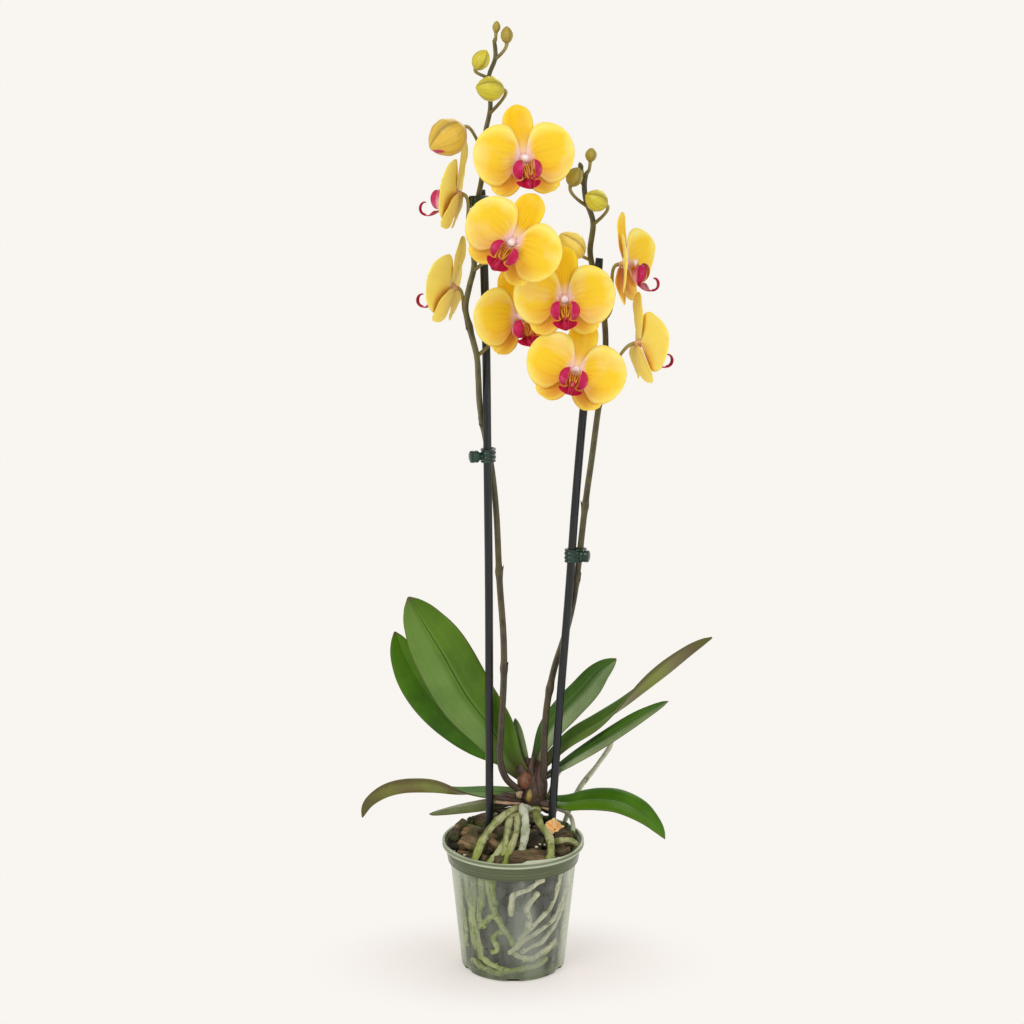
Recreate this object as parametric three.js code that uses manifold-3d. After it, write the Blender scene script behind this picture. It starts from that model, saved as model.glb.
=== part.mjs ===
// Potted moth orchid with two flower spikes, in a 12 cm clear growing pot.
// Millimetres, +Z up, the centre of the pot's underside at the origin, the front towards -Y.
import * as THREE from 'three';
import { mergeVertices } from 'three/addons/utils/BufferGeometryUtils.js';
import Module from 'manifold-3d';

const wasm = await Module();
wasm.setup();

// ---- driving dimensions ----

const CLEARANCE = 0.3;
const WELD = 1e-4;

const POT = {
  height: 110,
  rimRadius: 60,
  mouthRadius: 57.4,
  collarBottom: 93,
  collarRadius: 55.2,
  collarTopRadius: 57,
  footRadius: 43.7,
  shoulderRadius: 53.2,
  wall: 1.3,
  sides: 30,
  slots: 6,
  slotWidth: 10,
  slotHeight: 3.2,
};

const MEDIUM = {
  edgeHeight: 103,
  moundHeight: 112,
  roughness: 1.6,
  sides: 18,
  chunks: 8,
  chunkLength: 17,
  chunkWidth: 10,
  chunkThickness: 7,
  seed: 7,
};

const STAKE = { radius: 3.1, sides: 10, steps: 5 };

const CLIP = { wall: 2.2, height: 11, rib: 1, tabRadius: 4.4, sides: 10, tabSides: 6 };

const STEM = {
  baseRadius: 2.9,
  tipRadius: 1.6,
  sides: 6,
  pedicelRadius: 1.3,
  pedicelSides: 5,
  bractLength: 9,
};

const CROWN = { width: 12.5, depth: 8.5, sides: 12 };

const LEAF = { thickness: 2.2, edge: 1, rows: 7, columns: 4 };

// A tepal's outline gives, from the hub to the tip, the distance out and half the width there.
const PETAL = {
  outline: [[3, 2.6], [9, 8], [12.5, 18.5], [19, 22.4], [29, 19], [36.5, 10.5], [40, 3]],
  angle: 12,
  raise: -1.6,
  lift: 0.2,
  bend: -4,
  turnedBack: 3,
};

const DORSAL = {
  outline: [[3, 3], [13, 8], [27, 12], [36, 9.5], [41, 3]],
  angle: -4,
  raise: -2.7,
  bend: 3,
};

const LATERAL = {
  outline: [[3, 3.5], [11, 10], [22, 13], [31, 10.5], [37.4, 2.5]],
  raise: -4.1,
  bend: 5,
};

const TEPAL_THICKNESS = 0.9;

const LIP = { lobeHeight: 13, lobeReach: 14, lobeWidth: 4, thickness: 0.8, midWidth: 9.5 };

const COLUMN = { foot: 0.7, length: 8, radius: 2.5, sides: 5 };

const HUB = { radius: 4.4, depth: 6.8, sides: 5 };

// Each stake from the growing medium to its top.
const STAKES = {
  stake_left: [[-20, 8, 98], [-20, 7, 313], [-21, 8, 439], [-22, 12, 535], [-25, 10, 647]],
  stake_right: [[31, 4, 98], [39, 6, 227], [46, 8, 321], [51, 10, 397], [57, 12, 471], [69, 14, 593]],
};

// Each flower spike from the crown to its last bud.
const SPIKES = {
  spike_left: [
    [6, 6, 149], [-6, -1, 163], [-11, -3, 180], [-10, -2, 206], [-8, 1, 245], [-8, 3, 281],
    [-11, 7, 327], [-14, 13, 387], [-18, 14, 424], [-22, 15, 444], [-27, 13, 474], [-28, 5, 498],
    [-29, -3, 516],
    [-34, -3, 536], [-38, -1, 554], [-35, -1, 571], [-31, 0, 588], [-33, 1, 610], [-29, 1, 634],
    [-24, 1, 660], [-22, 1, 690], [-18, 2, 710], [-19, 0, 734], [-14, -1, 748], [-15, -2, 763],
  ],
  spike_right: [
    [22, 10, 148], [26, 5, 167], [26, 6, 190], [28, 10, 221], [34, 16, 252], [44, 17, 284],
    [50, 16, 311], [54, 12, 345], [57, 10, 376], [60, 8, 403], [64, 6, 433], [68, 5, 467],
    [72, 4, 499], [74, 4, 526], [71, 5, 559], [63, 5, 587], [61, 4, 599], [63, 3, 622],
    [57, 2, 640], [56, 2, 653], [58, 2, 662],
  ],
};

// Heights at which a spike carries a dry bract, and the side that it is on.
const BRACTS = {
  spike_left: [[257, 1], [337, 1], [460, -1], [540, -1]],
  spike_right: [[236, 1], [330, 1], [392, -1], [480, -1]],
};

// Clips: the stake and spike that each holds, its height, and the way its tab points.
const CLIPS = {
  clip_left_lower: { stake: 'stake_left', height: 434, spike: 'spike_left', reach: [-1, -0.35] },
  clip_left_upper: { stake: 'stake_left', height: 637, spike: 'spike_left', reach: [-0.7, 0.2] },
  clip_right: { stake: 'stake_right', height: 351, spike: 'spike_right', reach: [1, -0.35] },
};

// Open flowers: the column's foot, the turn to the right, the nod and the roll in degrees, how far
// the petals close forward (cup), the lateral sepals' angle from upright (splay), and the height
// at which the stalk leaves the spike.
const FLOWERS = {
  flower_1: {
    at: [8, -30, 671], turn: 12, nod: 0, roll: 4, cup: 0, splay: 138, spike: 'spike_left', from: 664,
  },
  flower_2: {
    at: [-46, -3, 645], turn: -100, nod: -12, roll: 0, cup: 0.02, splay: 140, spike: 'spike_left', from: 606,
  },
  flower_3: {
    at: [-1, -40, 608], turn: -8, nod: 4, roll: -33, cup: 0, splay: 138, spike: 'spike_left', from: 584,
  },
  flower_4: {
    at: [-50, 8, 571], turn: -108, nod: -14, roll: 0, cup: 0.12, splay: 140, spike: 'spike_left', from: 548,
  },
  flower_5: {
    at: [5, 5, 547], turn: 22, nod: 0, roll: 10, cup: 0, splay: 138, spike: 'spike_left', from: 516,
  },
  flower_6: {
    at: [40, -24, 563], turn: 2, nod: 0, roll: 0, cup: 0, splay: 138, spike: 'spike_right', from: 548,
  },
  flower_7: {
    at: [49, -26, 507], turn: 2, nod: -15, roll: -17, cup: 0, splay: 138, spike: 'spike_right', from: 494,
  },
  flower_8: {
    at: [90, 2, 589], turn: 70, nod: -4, roll: 4, cup: 0.25, splay: 150, spike: 'spike_right', from: 545,
  },
  flower_9: {
    at: [102, -4, 527], turn: 104, nod: -6, roll: 3, cup: 0.18, splay: 150, spike: 'spike_right', from: 500,
  },
};

// Buds: the middle, the way the tip points, length and width, and the height at which the
// stalk leaves the spike.
const BUDS = {
  bud_left_1: {
    at: [-51, -20, 687],
    tip: [-0.8, -0.3, -0.5],
    size: [32, 30],
    spike: 'spike_left',
    from: 678,
  },
  bud_left_2: {
    at: [-18, -14, 724],
    tip: [-1, -0.2, 0.1],
    size: [22, 20],
    spike: 'spike_left',
    from: 706,
  },
  bud_left_3: {
    at: [-25, -8, 746],
    tip: [0.5, -0.2, 0.8],
    size: [17, 14],
    spike: 'spike_left',
    from: 732,
  },
  bud_left_4: {
    at: [-5, -4, 765],
    tip: [0, -0.1, 1],
    size: [13, 10],
    spike: 'spike_left',
    from: 747,
  },
  bud_left_5: {
    at: [-13, -4, 771],
    tip: [0.1, -0.2, 1],
    size: [9, 6.5],
    spike: 'spike_left',
    from: 760,
  },
  bud_right_1: {
    at: [46, -4, 604],
    tip: [-0.6, -0.3, 0.6],
    size: [26, 22],
    spike: 'spike_right',
    from: 592,
  },
  bud_right_2: {
    at: [65, -9, 639],
    tip: [-0.8, -0.2, 0.4],
    size: [19, 18],
    spike: 'spike_right',
    from: 620,
  },
  bud_right_3: {
    at: [48, -5, 657],
    tip: [0.4, -0.2, 0.9],
    size: [16, 14],
    spike: 'spike_right',
    from: 634,
  },
  bud_right_4: {
    at: [61, 1, 674],
    tip: [0.1, -0.1, 1],
    size: [11, 9.5],
    spike: 'spike_right',
    from: 659,
  },
};

// Leaves: the middle line from the crown to the tip, the way of the leaf's side at both ends,
// half the width, and how steeply its halves fold up.
const LEAVES = {
  leaf_upper_left: {
    spine: [
      [11, 14, 158], [-1, 14, 172], [-18, 18, 200], [-39, 23, 227], [-60, 28, 263], [-77, 31, 291],
      [-88, 33, 310],
    ],
    sides: [[0.7, -0.5, 0.55], [0.82, 0.1, 0.5]],
    width: 25,
    fold: 0.16,
  },
  leaf_left_behind: {
    spine: [
      [10, 20, 160], [-10, 27, 173], [-42, 38, 192], [-71, 46, 218], [-91, 51, 249], [-101, 53, 275],
    ],
    sides: [[0.3, -0.5, 0.8], [0.85, 0.1, 0.5]],
    width: 17,
    fold: 0.15,
  },
  leaf_left_arched: {
    spine: [
      [11, 17, 145], [-20, 27, 143], [-47, 30, 142], [-71, 33, 143], [-94, 35, 142], [-109, 36, 137],
      [-122, 37, 127], [-130, 38, 114],
    ],
    sides: [[0, -1, -0.25], [0, -0.7, 0.75]],
    width: 16,
    fold: 0.12,
  },
  leaf_left_low: {
    spine: [[11, 12, 140], [-27, 24, 131], [-49, 32, 125], [-72, 38, 117]],
    sides: [[0, -1, -0.1], [0, -1, 0.1]],
    width: 8,
    fold: 0.1,
  },
  leaf_right_short: {
    spine: [[17, 20, 166], [31, 32, 194], [46, 39, 211], [61, 44, 226], [74, 48, 241], [88, 50, 252]],
    sides: [[0.6, -0.5, -0.5], [0.75, -0.1, -0.6]],
    width: 12.5,
    fold: 0.22,
  },
  leaf_right_long: {
    spine: [
      [20, 18, 162], [48, 22, 190], [72, 24, 206], [92, 26, 220], [111, 27, 237], [131, 28, 253],
      [150, 29, 267], [167, 30, 276],
    ],
    sides: [[0.35, -0.75, -0.45], [0.1, -1, 0.5]],
    width: 14,
    fold: 0.16,
  },
  leaf_right_middle: {
    spine: [[21, 17, 153], [56, 15, 177], [77, 11, 192], [106, 6, 213], [129, 4, 228]],
    sides: [[0.3, -0.9, -0.1], [0.3, -0.9, -0.1]],
    width: 11,
    fold: 0.2,
  },
  leaf_right_arched: {
    spine: [
      [20, 16, 139], [45, 15, 138], [60, 10, 144], [73, 5, 147], [89, 0, 147], [108, -4, 138],
      [121, -6, 124], [127, -8, 112],
    ],
    sides: [[0, -1, -0.45], [-0.3, -1, -0.5]],
    width: 14,
    fold: 0.12,
  },
  leaf_new: {
    spine: [[13, 18, 166], [9, 19, 180], [6, 20, 194], [2, 21, 210]],
    sides: [[0.9, 0.1, 0.2], [0.9, 0.1, 0.2]],
    width: 4.5,
    fold: 0.3,
  },
};

// Roots that leave the crown and run into the bark: the points that each passes, and its radius.
const ROOTS = [
  { path: [[12, 8, 131], [1, 2, 134], [-15, -14, 128], [-24, -26, 120], [-32, -38, 104]], radius: 3.1 },
  { path: [[13, 8, 131], [-1, -4, 129], [-5, -18, 122], [-7, -32, 110], [-8, -38, 102]], radius: 2.9 },
  { path: [[14, 7, 131], [5, -4, 131], [3, -18, 123], [-1, -30, 115], [-7, -43, 102]], radius: 2.8 },
  { path: [[15, 8, 132], [8, -1, 137], [10, -11, 133], [10, -21, 123], [6, -32, 106]], radius: 3.3 },
  {
    path: [[19, 8, 131], [19, -2, 131], [23, -12, 126], [30, -25, 119], [31, -36, 112], [29, -42, 103]],
    radius: 3,
  },
  { path: [[27, -20, 122], [38, -19, 113], [47, -15, 110], [50, -12, 103]], radius: 2.6 },
  {
    path: [
      [20, 16, 131], [30, 24, 138], [39, 25, 160], [58, 29, 176], [76, 36, 186], [84, 43, 180],
      [73, 44, 160], [56, 39, 138], [40, 28, 103],
    ],
    radius: 2.2,
  },
  { path: [[20, 14, 131], [34, 24, 128], [48, 22, 122], [51, 14, 112], [48, 8, 103]], radius: 1.8 },
];

const COLOURS = {
  pot: '#8a9a88',
  medium: '#4a3424',
  stake: '#2e3238',
  clip: '#16352b',
  stem: '#5b5633',
  crown: '#5a3b33',
  root: '#98a56f',
  leaf: '#3f7a33',
  petal: '#f7cf3f',
  lip: '#b80f46',
  column: '#f0d5da',
  bud: '#bfae2e',
  bract: '#d9a45c',
};

// ---- points, curves and numbers ----

function vector(point) {
  return new THREE.Vector3(point[0], point[1], point[2]);
}

function curveThrough(points) {
  return new THREE.CatmullRomCurve3(points.map(vector), false, 'centripetal');
}

// Reads a value off a list of [position, value] pairs, straight between them.
function valueAt(steps, position) {
  const last = steps.length - 1;
  if (position <= steps[0][0]) {
    return steps[0][1];
  }
  for (let i = 0; i < last; i += 1) {
    const [from, low] = steps[i];
    const [to, high] = steps[i + 1];
    if (position <= to) {
      return low + ((high - low) * (position - from)) / (to - from);
    }
  }
  return steps[last][1];
}

// The point of a rising curve that is at a height.
function pointAtHeight(curve, height) {
  let low = 0;
  let high = 1;
  while (high - low > WELD) {
    const middle = (low + high) / 2;
    if (curve.getPoint(middle).z < height) {
      low = middle;
    } else {
      high = middle;
    }
  }
  return curve.getPoint(low);
}

// Seeded draws between 0 and 1.
function seededDraws(seed) {
  let state = seed;
  return () => {
    state = (state * 16807) % 2147483647;
    return state / 2147483647;
  };
}

// ---- closed bodies ----

function meshGeometry(points, faces) {
  const geometry = new THREE.BufferGeometry();
  const numbers = points.flatMap((p) => [p.x, p.y, p.z]);
  geometry.setAttribute('position', new THREE.Float32BufferAttribute(numbers, 3));
  geometry.setIndex(faces.flat());
  return facingOut(geometry);
}

// Turns every face over if the body encloses a negative volume.
function facingOut(geometry) {
  const place = geometry.getAttribute('position');
  const index = geometry.getIndex();
  const corners = [new THREE.Vector3(), new THREE.Vector3(), new THREE.Vector3()];
  let volume = 0;
  for (let i = 0; i < index.count; i += 3) {
    corners.forEach((corner, k) => corner.fromBufferAttribute(place, index.getX(i + k)));
    volume += corners[0].dot(corners[1].cross(corners[2]));
  }
  if (volume < 0) {
    for (let i = 0; i < index.count; i += 3) {
      const second = index.getX(i + 1);
      index.setX(i + 1, index.getX(i + 2));
      index.setX(i + 2, second);
    }
  }
  return geometry;
}

function solidOf(geometry) {
  const bare = new THREE.BufferGeometry();
  bare.setAttribute('position', geometry.getAttribute('position').clone());
  if (geometry.getIndex()) {
    bare.setIndex(geometry.getIndex().clone());
  }
  const welded = mergeVertices(bare, WELD);
  const index = welded.getIndex().array;
  const kept = [];
  for (let i = 0; i < index.length; i += 3) {
    const [a, b, c] = [index[i], index[i + 1], index[i + 2]];
    if (a !== b && b !== c && c !== a) {
      kept.push(a, b, c);
    }
  }
  const mesh = new wasm.Mesh({
    numProp: 3,
    vertProperties: new Float32Array(welded.getAttribute('position').array),
    triVerts: new Uint32Array(kept),
  });
  return new wasm.Manifold(mesh);
}

function geometryOf(solid) {
  const mesh = solid.getMesh();
  const geometry = new THREE.BufferGeometry();
  geometry.setAttribute('position', new THREE.BufferAttribute(new Float32Array(mesh.vertProperties), 3));
  geometry.setIndex(Array.from(mesh.triVerts));
  return geometry;
}

function fused(geometries) {
  return geometryOf(wasm.Manifold.union(geometries.map(solidOf)));
}

// Cuts the tools away and keeps the main piece of what is left.
function without(geometry, tools) {
  const left = solidOf(geometry).subtract(wasm.Manifold.union(tools.map(solidOf)));
  const pieces = left.decompose().sort((a, b) => b.volume() - a.volume());
  return geometryOf(pieces[0]);
}

// A closed tube of rings that have the same number of points.
function loft(rings) {
  const count = rings[0].length;
  const points = rings.flat();
  const faces = [];
  for (let i = 0; i < rings.length - 1; i += 1) {
    for (let j = 0; j < count; j += 1) {
      const next = (j + 1) % count;
      const [a, b, c, d] = [i * count + j, i * count + next, (i + 1) * count + next, (i + 1) * count + j];
      faces.push([a, b, c], [a, c, d]);
    }
  }
  const middleOf = (ring) => ring.reduce((sum, p) => sum.add(p), new THREE.Vector3()).divideScalar(count);
  const first = points.length;
  points.push(middleOf(rings[0]), middleOf(rings[rings.length - 1]));
  const lastRing = (rings.length - 1) * count;
  for (let j = 0; j < count; j += 1) {
    const next = (j + 1) % count;
    faces.push([first, next, j], [first + 1, lastRing + j, lastRing + next]);
  }
  return meshGeometry(points, faces);
}

function ringAround(centre, across, up, width, height, sides, shape = () => 1) {
  const ring = [];
  for (let j = 0; j < sides; j += 1) {
    const angle = (2 * Math.PI * j) / sides;
    const size = shape(angle);
    ring.push(
      centre
        .clone()
        .addScaledVector(across, width * size * Math.cos(angle))
        .addScaledVector(up, height * size * Math.sin(angle)),
    );
  }
  return ring;
}

// A round stalk along a curve, with its radius given from 0 to 1 along it.
function stalk(curve, radiusAt, sides, steps) {
  const frames = curve.computeFrenetFrames(steps, false);
  const rings = [];
  for (let i = 0; i <= steps; i += 1) {
    const along = i / steps;
    const radius = radiusAt(along);
    const centre = curve.getPointAt(along);
    rings.push(ringAround(centre, frames.normals[i], frames.binormals[i], radius, radius, sides));
  }
  return loft(rings);
}

// A thin closed body round a middle surface, its two faces split into triangles alike.
function blade(rows, columns, place, thicknessAt) {
  const points = [];
  const step = 1e-3;
  const slope = (u, v, du, dv) => {
    const ahead = place(Math.min(1, u + du), Math.min(1, v + dv));
    return ahead.sub(place(Math.max(0, u - du), Math.max(-1, v - dv)));
  };
  for (let i = 0; i <= rows; i += 1) {
    for (let j = 0; j <= columns; j += 1) {
      const u = i / rows;
      const v = (2 * j) / columns - 1;
      const normal = slope(u, v, step, 0).cross(slope(u, v, 0, step)).normalize();
      const half = thicknessAt(u, v) / 2;
      points.push(place(u, v).addScaledVector(normal, half), place(u, v).addScaledVector(normal, -half));
    }
  }
  const upper = (i, j) => 2 * (i * (columns + 1) + j);
  const faces = [];
  for (let i = 0; i < rows; i += 1) {
    for (let j = 0; j < columns; j += 1) {
      const [a, b, c, d] = [upper(i, j), upper(i + 1, j), upper(i + 1, j + 1), upper(i, j + 1)];
      const halves = j < columns / 2 ? [[a, b, c], [a, c, d]] : [[b, c, d], [b, d, a]];
      halves.forEach(([p, q, r]) => faces.push([p, q, r], [p + 1, r + 1, q + 1]));
    }
  }
  const edge = [];
  for (let i = 0; i < rows; i += 1) {
    edge.push(upper(i, 0));
  }
  for (let j = 0; j < columns; j += 1) {
    edge.push(upper(rows, j));
  }
  for (let i = rows; i > 0; i -= 1) {
    edge.push(upper(i, columns));
  }
  for (let j = columns; j > 0; j -= 1) {
    edge.push(upper(0, j));
  }
  edge.forEach((p, k) => {
    const q = edge[(k + 1) % edge.length];
    faces.push([p, p + 1, q + 1], [p, q + 1, q]);
  });
  return meshGeometry(points, faces);
}

// ---- the pot and what fills it ----

function innerRadius(height) {
  const rise = (POT.shoulderRadius - POT.footRadius) / POT.collarBottom;
  return POT.footRadius + rise * Math.min(height, POT.collarBottom) - POT.wall;
}

function potBody() {
  const top = POT.height;
  const profile = [
    [0, 0], [POT.footRadius, 0],
    [POT.shoulderRadius, POT.collarBottom - 0.6], [POT.collarRadius, POT.collarBottom],
    [POT.collarTopRadius, top - 6], [POT.rimRadius, top - 4.5], [POT.rimRadius, top - 0.8],
    [POT.rimRadius - 0.8, top], [POT.mouthRadius, top],
    [POT.collarRadius - POT.wall - 0.4, POT.collarBottom + 2],
    [innerRadius(POT.collarBottom), POT.collarBottom - 1],
    [innerRadius(POT.wall), POT.wall], [0, POT.wall],
  ].map(([radius, height]) => new THREE.Vector2(radius, height));
  const body = new THREE.LatheGeometry(profile, POT.sides);
  body.rotateX(Math.PI / 2);
  const slots = [];
  for (let k = 0; k < POT.slots; k += 1) {
    const slot = new THREE.BoxGeometry(POT.slotWidth, 2 * POT.wall + 2, 2 * POT.slotHeight);
    slot.translate(0, -POT.footRadius, 0);
    slot.rotateZ((2 * Math.PI * k) / POT.slots);
    slots.push(slot);
  }
  return without(body, slots);
}

// Bark heaped towards the crown, higher at the back than at the front edge.
function mediumHeight(x, y) {
  const out = Math.min(1, Math.hypot(x - 6, y - 6) / innerRadius(MEDIUM.edgeHeight));
  const small = Math.sin(x * 0.31 + 1.3) * Math.cos(y * 0.27 - 0.4);
  const lumps = small + 0.6 * Math.sin(x * 0.13 - y * 0.19);
  const fall = MEDIUM.moundHeight - MEDIUM.edgeHeight;
  return MEDIUM.moundHeight - fall * out ** 1.6 + MEDIUM.roughness * lumps;
}

function mediumBlank() {
  const sides = MEDIUM.sides;
  const around = (radius, heightAt) => {
    const ring = [];
    for (let j = 0; j < sides; j += 1) {
      const angle = (2 * Math.PI * j) / sides;
      const [x, y] = [radius * Math.cos(angle), radius * Math.sin(angle)];
      ring.push(new THREE.Vector3(x, y, heightAt(x, y)));
    }
    return ring;
  };
  const gap = CLEARANCE + 0.4;
  const floor = POT.wall + CLEARANCE;
  const rings = [
    around(innerRadius(floor) - gap, () => floor),
    around(innerRadius(floor) - gap, () => floor + 1),
    around(innerRadius(POT.collarBottom) - gap, () => POT.collarBottom - 1),
  ];
  [1, 0.75, 0.45].forEach((share) => {
    rings.push(around((innerRadius(POT.collarBottom) - gap) * share, mediumHeight));
  });
  return loft(rings);
}

function barkChunks() {
  const draw = seededDraws(MEDIUM.seed);
  const chunks = [];
  for (let k = 0; k < MEDIUM.chunks; k += 1) {
    const angle = 2.399963 * k + 0.5 * draw();
    const out = 14 + 28 * Math.sqrt((k + 0.5) / MEDIUM.chunks);
    const [x, y] = [out * Math.cos(angle), out * Math.sin(angle)];
    const size = 0.75 + 0.4 * draw();
    const chunk = new THREE.BoxGeometry(
      MEDIUM.chunkLength * size, MEDIUM.chunkWidth * size, MEDIUM.chunkThickness * size,
    );
    chunk.rotateX(0.7 * (draw() - 0.5));
    chunk.rotateY(0.6 * (draw() - 0.5));
    chunk.rotateZ(Math.PI * draw());
    chunk.translate(x, y, mediumHeight(x, y) + 0.6);
    chunks.push(chunk);
  }
  return chunks;
}

function growingMedium() {
  const holes = [];
  Object.values(STAKES).forEach((points) => {
    const hole = curveThrough(points);
    holes.push(stakeRod(hole, STAKE.radius + CLEARANCE, -CLEARANCE));
  });
  ROOTS.forEach((root) => holes.push(rootTube(root, CLEARANCE)));
  const heap = fused([mediumBlank(), ...barkChunks()]);
  return without(heap, holes);
}

// ---- stakes and clips ----

function stakeRod(curve, radius, drop) {
  const sides = STAKE.sides;
  const rings = [];
  const across = new THREE.Vector3(1, 0, 0);
  const away = new THREE.Vector3(0, 1, 0);
  for (let i = 0; i <= STAKE.steps; i += 1) {
    const centre = curve.getPointAt(i / STAKE.steps);
    if (i === 0) {
      centre.z += drop;
    }
    rings.push(ringAround(centre, across, away, radius, radius, sides));
  }
  return loft(rings);
}

// A ribbed band round a stake and its spike, and a pinch tab with a ball end.
function clipBody({ stake, height, spike, reach }) {
  const pole = pointAtHeight(curveThrough(STAKES[stake]), height);
  const stem = pointAtHeight(curveThrough(SPIKES[spike]), height);
  const across = stem.clone().sub(pole).setZ(0);
  const span = across.length();
  across.normalize();
  const along = new THREE.Vector3(-across.y, across.x, 0);
  const centre = pole.clone().add(stem).divideScalar(2);
  const thick = STAKE.radius + CLIP.wall;
  const levels = [[-0.5, 0], [-0.3, CLIP.rib], [0, 0], [0.3, CLIP.rib], [0.5, 0]];
  const band = loft(levels.map(([level, out]) => {
    const middle = centre.clone().setZ(height + level * CLIP.height);
    return ringAround(middle, across, along, span / 2 + thick + out, thick + out, CLIP.sides);
  }));
  const away = new THREE.Vector3(reach[0], reach[1], 0);
  const start = pole.clone().addScaledVector(away, thick / 2);
  const end = pole.clone().addScaledVector(away, thick + 2.6 * CLIP.tabRadius);
  const tabShape = [[0, 0.6], [0.3, 0.55], [0.5, 1], [0.8, 1], [1, 0.5]];
  const tabLine = new THREE.LineCurve3(start, end);
  const tab = stalk(tabLine, (t) => CLIP.tabRadius * valueAt(tabShape, t), CLIP.tabSides, 5);
  const bore = (curve, radius) => {
    const low = pointAtHeight(curve, height - CLIP.height);
    const high = pointAtHeight(curve, height + CLIP.height);
    return stalk(new THREE.LineCurve3(low, high), () => radius, 8, 1);
  };
  return without(fused([band, tab]), [
    bore(curveThrough(STAKES[stake]), STAKE.radius + 2 * CLEARANCE),
    bore(curveThrough(SPIKES[spike]), STEM.baseRadius + 2 * CLEARANCE),
  ]);
}

// ---- spikes ----

function spikeRadius(height) {
  const taper = [[150, STEM.baseRadius], [420, 2.5], [600, 2.3], [700, 1.9], [770, STEM.tipRadius]];
  return valueAt(taper, height);
}

function placement({ at, turn, nod, roll }) {
  const toFront = new THREE.Matrix4().makeRotationX(Math.PI / 2);
  const rolled = new THREE.Matrix4().makeRotationZ(THREE.MathUtils.degToRad(roll));
  const nodded = new THREE.Matrix4().makeRotationX(THREE.MathUtils.degToRad(nod));
  const turned = new THREE.Matrix4().makeRotationZ(THREE.MathUtils.degToRad(turn));
  return turned.multiply(nodded).multiply(toFront).multiply(rolled).setPosition(vector(at));
}

// A flower's or bud's stalk, from inside the spike to just short of what it carries.
function pedicel(curve, from, end, backward) {
  const start = pointAtHeight(curve, from);
  const reach = start.distanceTo(end);
  const nearEnd = end.clone().addScaledVector(backward, 0.28 * reach);
  const side = end.clone().sub(start).setZ(0).normalize();
  const nearStart = start.clone().addScaledVector(side, 0.3 * reach);
  nearStart.z += 0.16 * reach;
  const path = new THREE.CubicBezierCurve3(start, nearStart, nearEnd, end);
  const swell = [[0, 1.25], [0.12, 1], [0.85, 1], [1, 1.3]];
  return stalk(path, (t) => STEM.pedicelRadius * valueAt(swell, t), STEM.pedicelSides, 3);
}

function bractAt(curve, height, side) {
  const foot = pointAtHeight(curve, height);
  const tip = foot.clone().add(new THREE.Vector3(side * 3.4, 0, STEM.bractLength));
  const shape = [[0, 1.3], [0.5, 1], [1, 0.2]];
  const line = new THREE.LineCurve3(foot, tip);
  return stalk(line, (t) => STEM.baseRadius * valueAt(shape, t), 5, 2);
}

function spikeBody(name) {
  const curve = curveThrough(SPIKES[name]);
  const steps = Math.round(1.05 * SPIKES[name].length);
  const stem = stalk(curve, (t) => spikeRadius(curve.getPointAt(t).z), STEM.sides, steps);
  const parts = [stem];
  BRACTS[name].forEach(([height, side]) => parts.push(bractAt(curve, height, side)));
  Object.values(FLOWERS).filter((flower) => flower.spike === name).forEach((flower) => {
    const frame = placement(flower);
    const back = new THREE.Vector3(0, 0, -HUB.depth - CLEARANCE).applyMatrix4(frame);
    const backward = new THREE.Vector3(0, 0, -1).transformDirection(frame);
    parts.push(pedicel(curve, flower.from, back, backward));
  });
  Object.values(BUDS).filter((bud) => bud.spike === name).forEach((bud) => {
    const backward = vector(bud.tip).normalize().negate();
    const back = vector(bud.at).addScaledVector(backward, bud.size[0] / 2 + CLEARANCE);
    parts.push(pedicel(curve, bud.from, back, backward));
  });
  return without(fused(parts), [crownShape(CLEARANCE)]);
}

// ---- buds ----

function budBody({ at, tip, size }) {
  const axis = vector(tip).normalize();
  const across = new THREE.Vector3(0, 1, 0).cross(axis).normalize();
  const up = axis.clone().cross(across);
  const [length, width] = size;
  const lobed = (angle) => 1 - 0.05 * Math.abs(Math.cos(1.5 * angle));
  const outline = [[0, 0.3], [0.14, 0.7], [0.4, 1], [0.66, 0.92], [0.88, 0.55], [1, 0.12]];
  const rings = outline.map(([along, share]) => {
    const centre = vector(at).addScaledVector(axis, length * (along - 0.5));
    return ringAround(centre, across, up, (width / 2) * share, (width / 2) * share, 7, lobed);
  });
  return loft(rings);
}

// ---- flowers: five tepals on a hub, a lip and a column ----

// Reads an outline's distance out or half width, its points counted evenly from 0 to 1.
function alongOutline(outline, column, share) {
  return valueAt(outline.map((point, k) => [k / (outline.length - 1), point[column]]), share);
}

// The broad petal: round on a short claw, cupped forward, its edge turned back.
function petal(side, cup) {
  const tilt = THREE.MathUtils.degToRad(PETAL.angle);
  const reach = PETAL.outline[PETAL.outline.length - 1][0];
  const place = (u, v) => {
    const along = alongOutline(PETAL.outline, 0, u);
    const across = alongOutline(PETAL.outline, 1, u) * v;
    const x = along * Math.cos(tilt) - across * Math.sin(tilt);
    const y = along * Math.sin(tilt) + across * Math.cos(tilt);
    const ripple = 0.5 * Math.sin(5 * v + 4 * u) * u;
    const cupped = PETAL.lift * along + PETAL.bend * (along / reach) ** 3 + (cup * along ** 2) / reach;
    const z = PETAL.raise + cupped - PETAL.turnedBack * v * v * u + ripple;
    return new THREE.Vector3(side * x, y, z);
  };
  return blade(PETAL.outline.length - 1, 4, place, () => TEPAL_THICKNESS);
}

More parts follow.
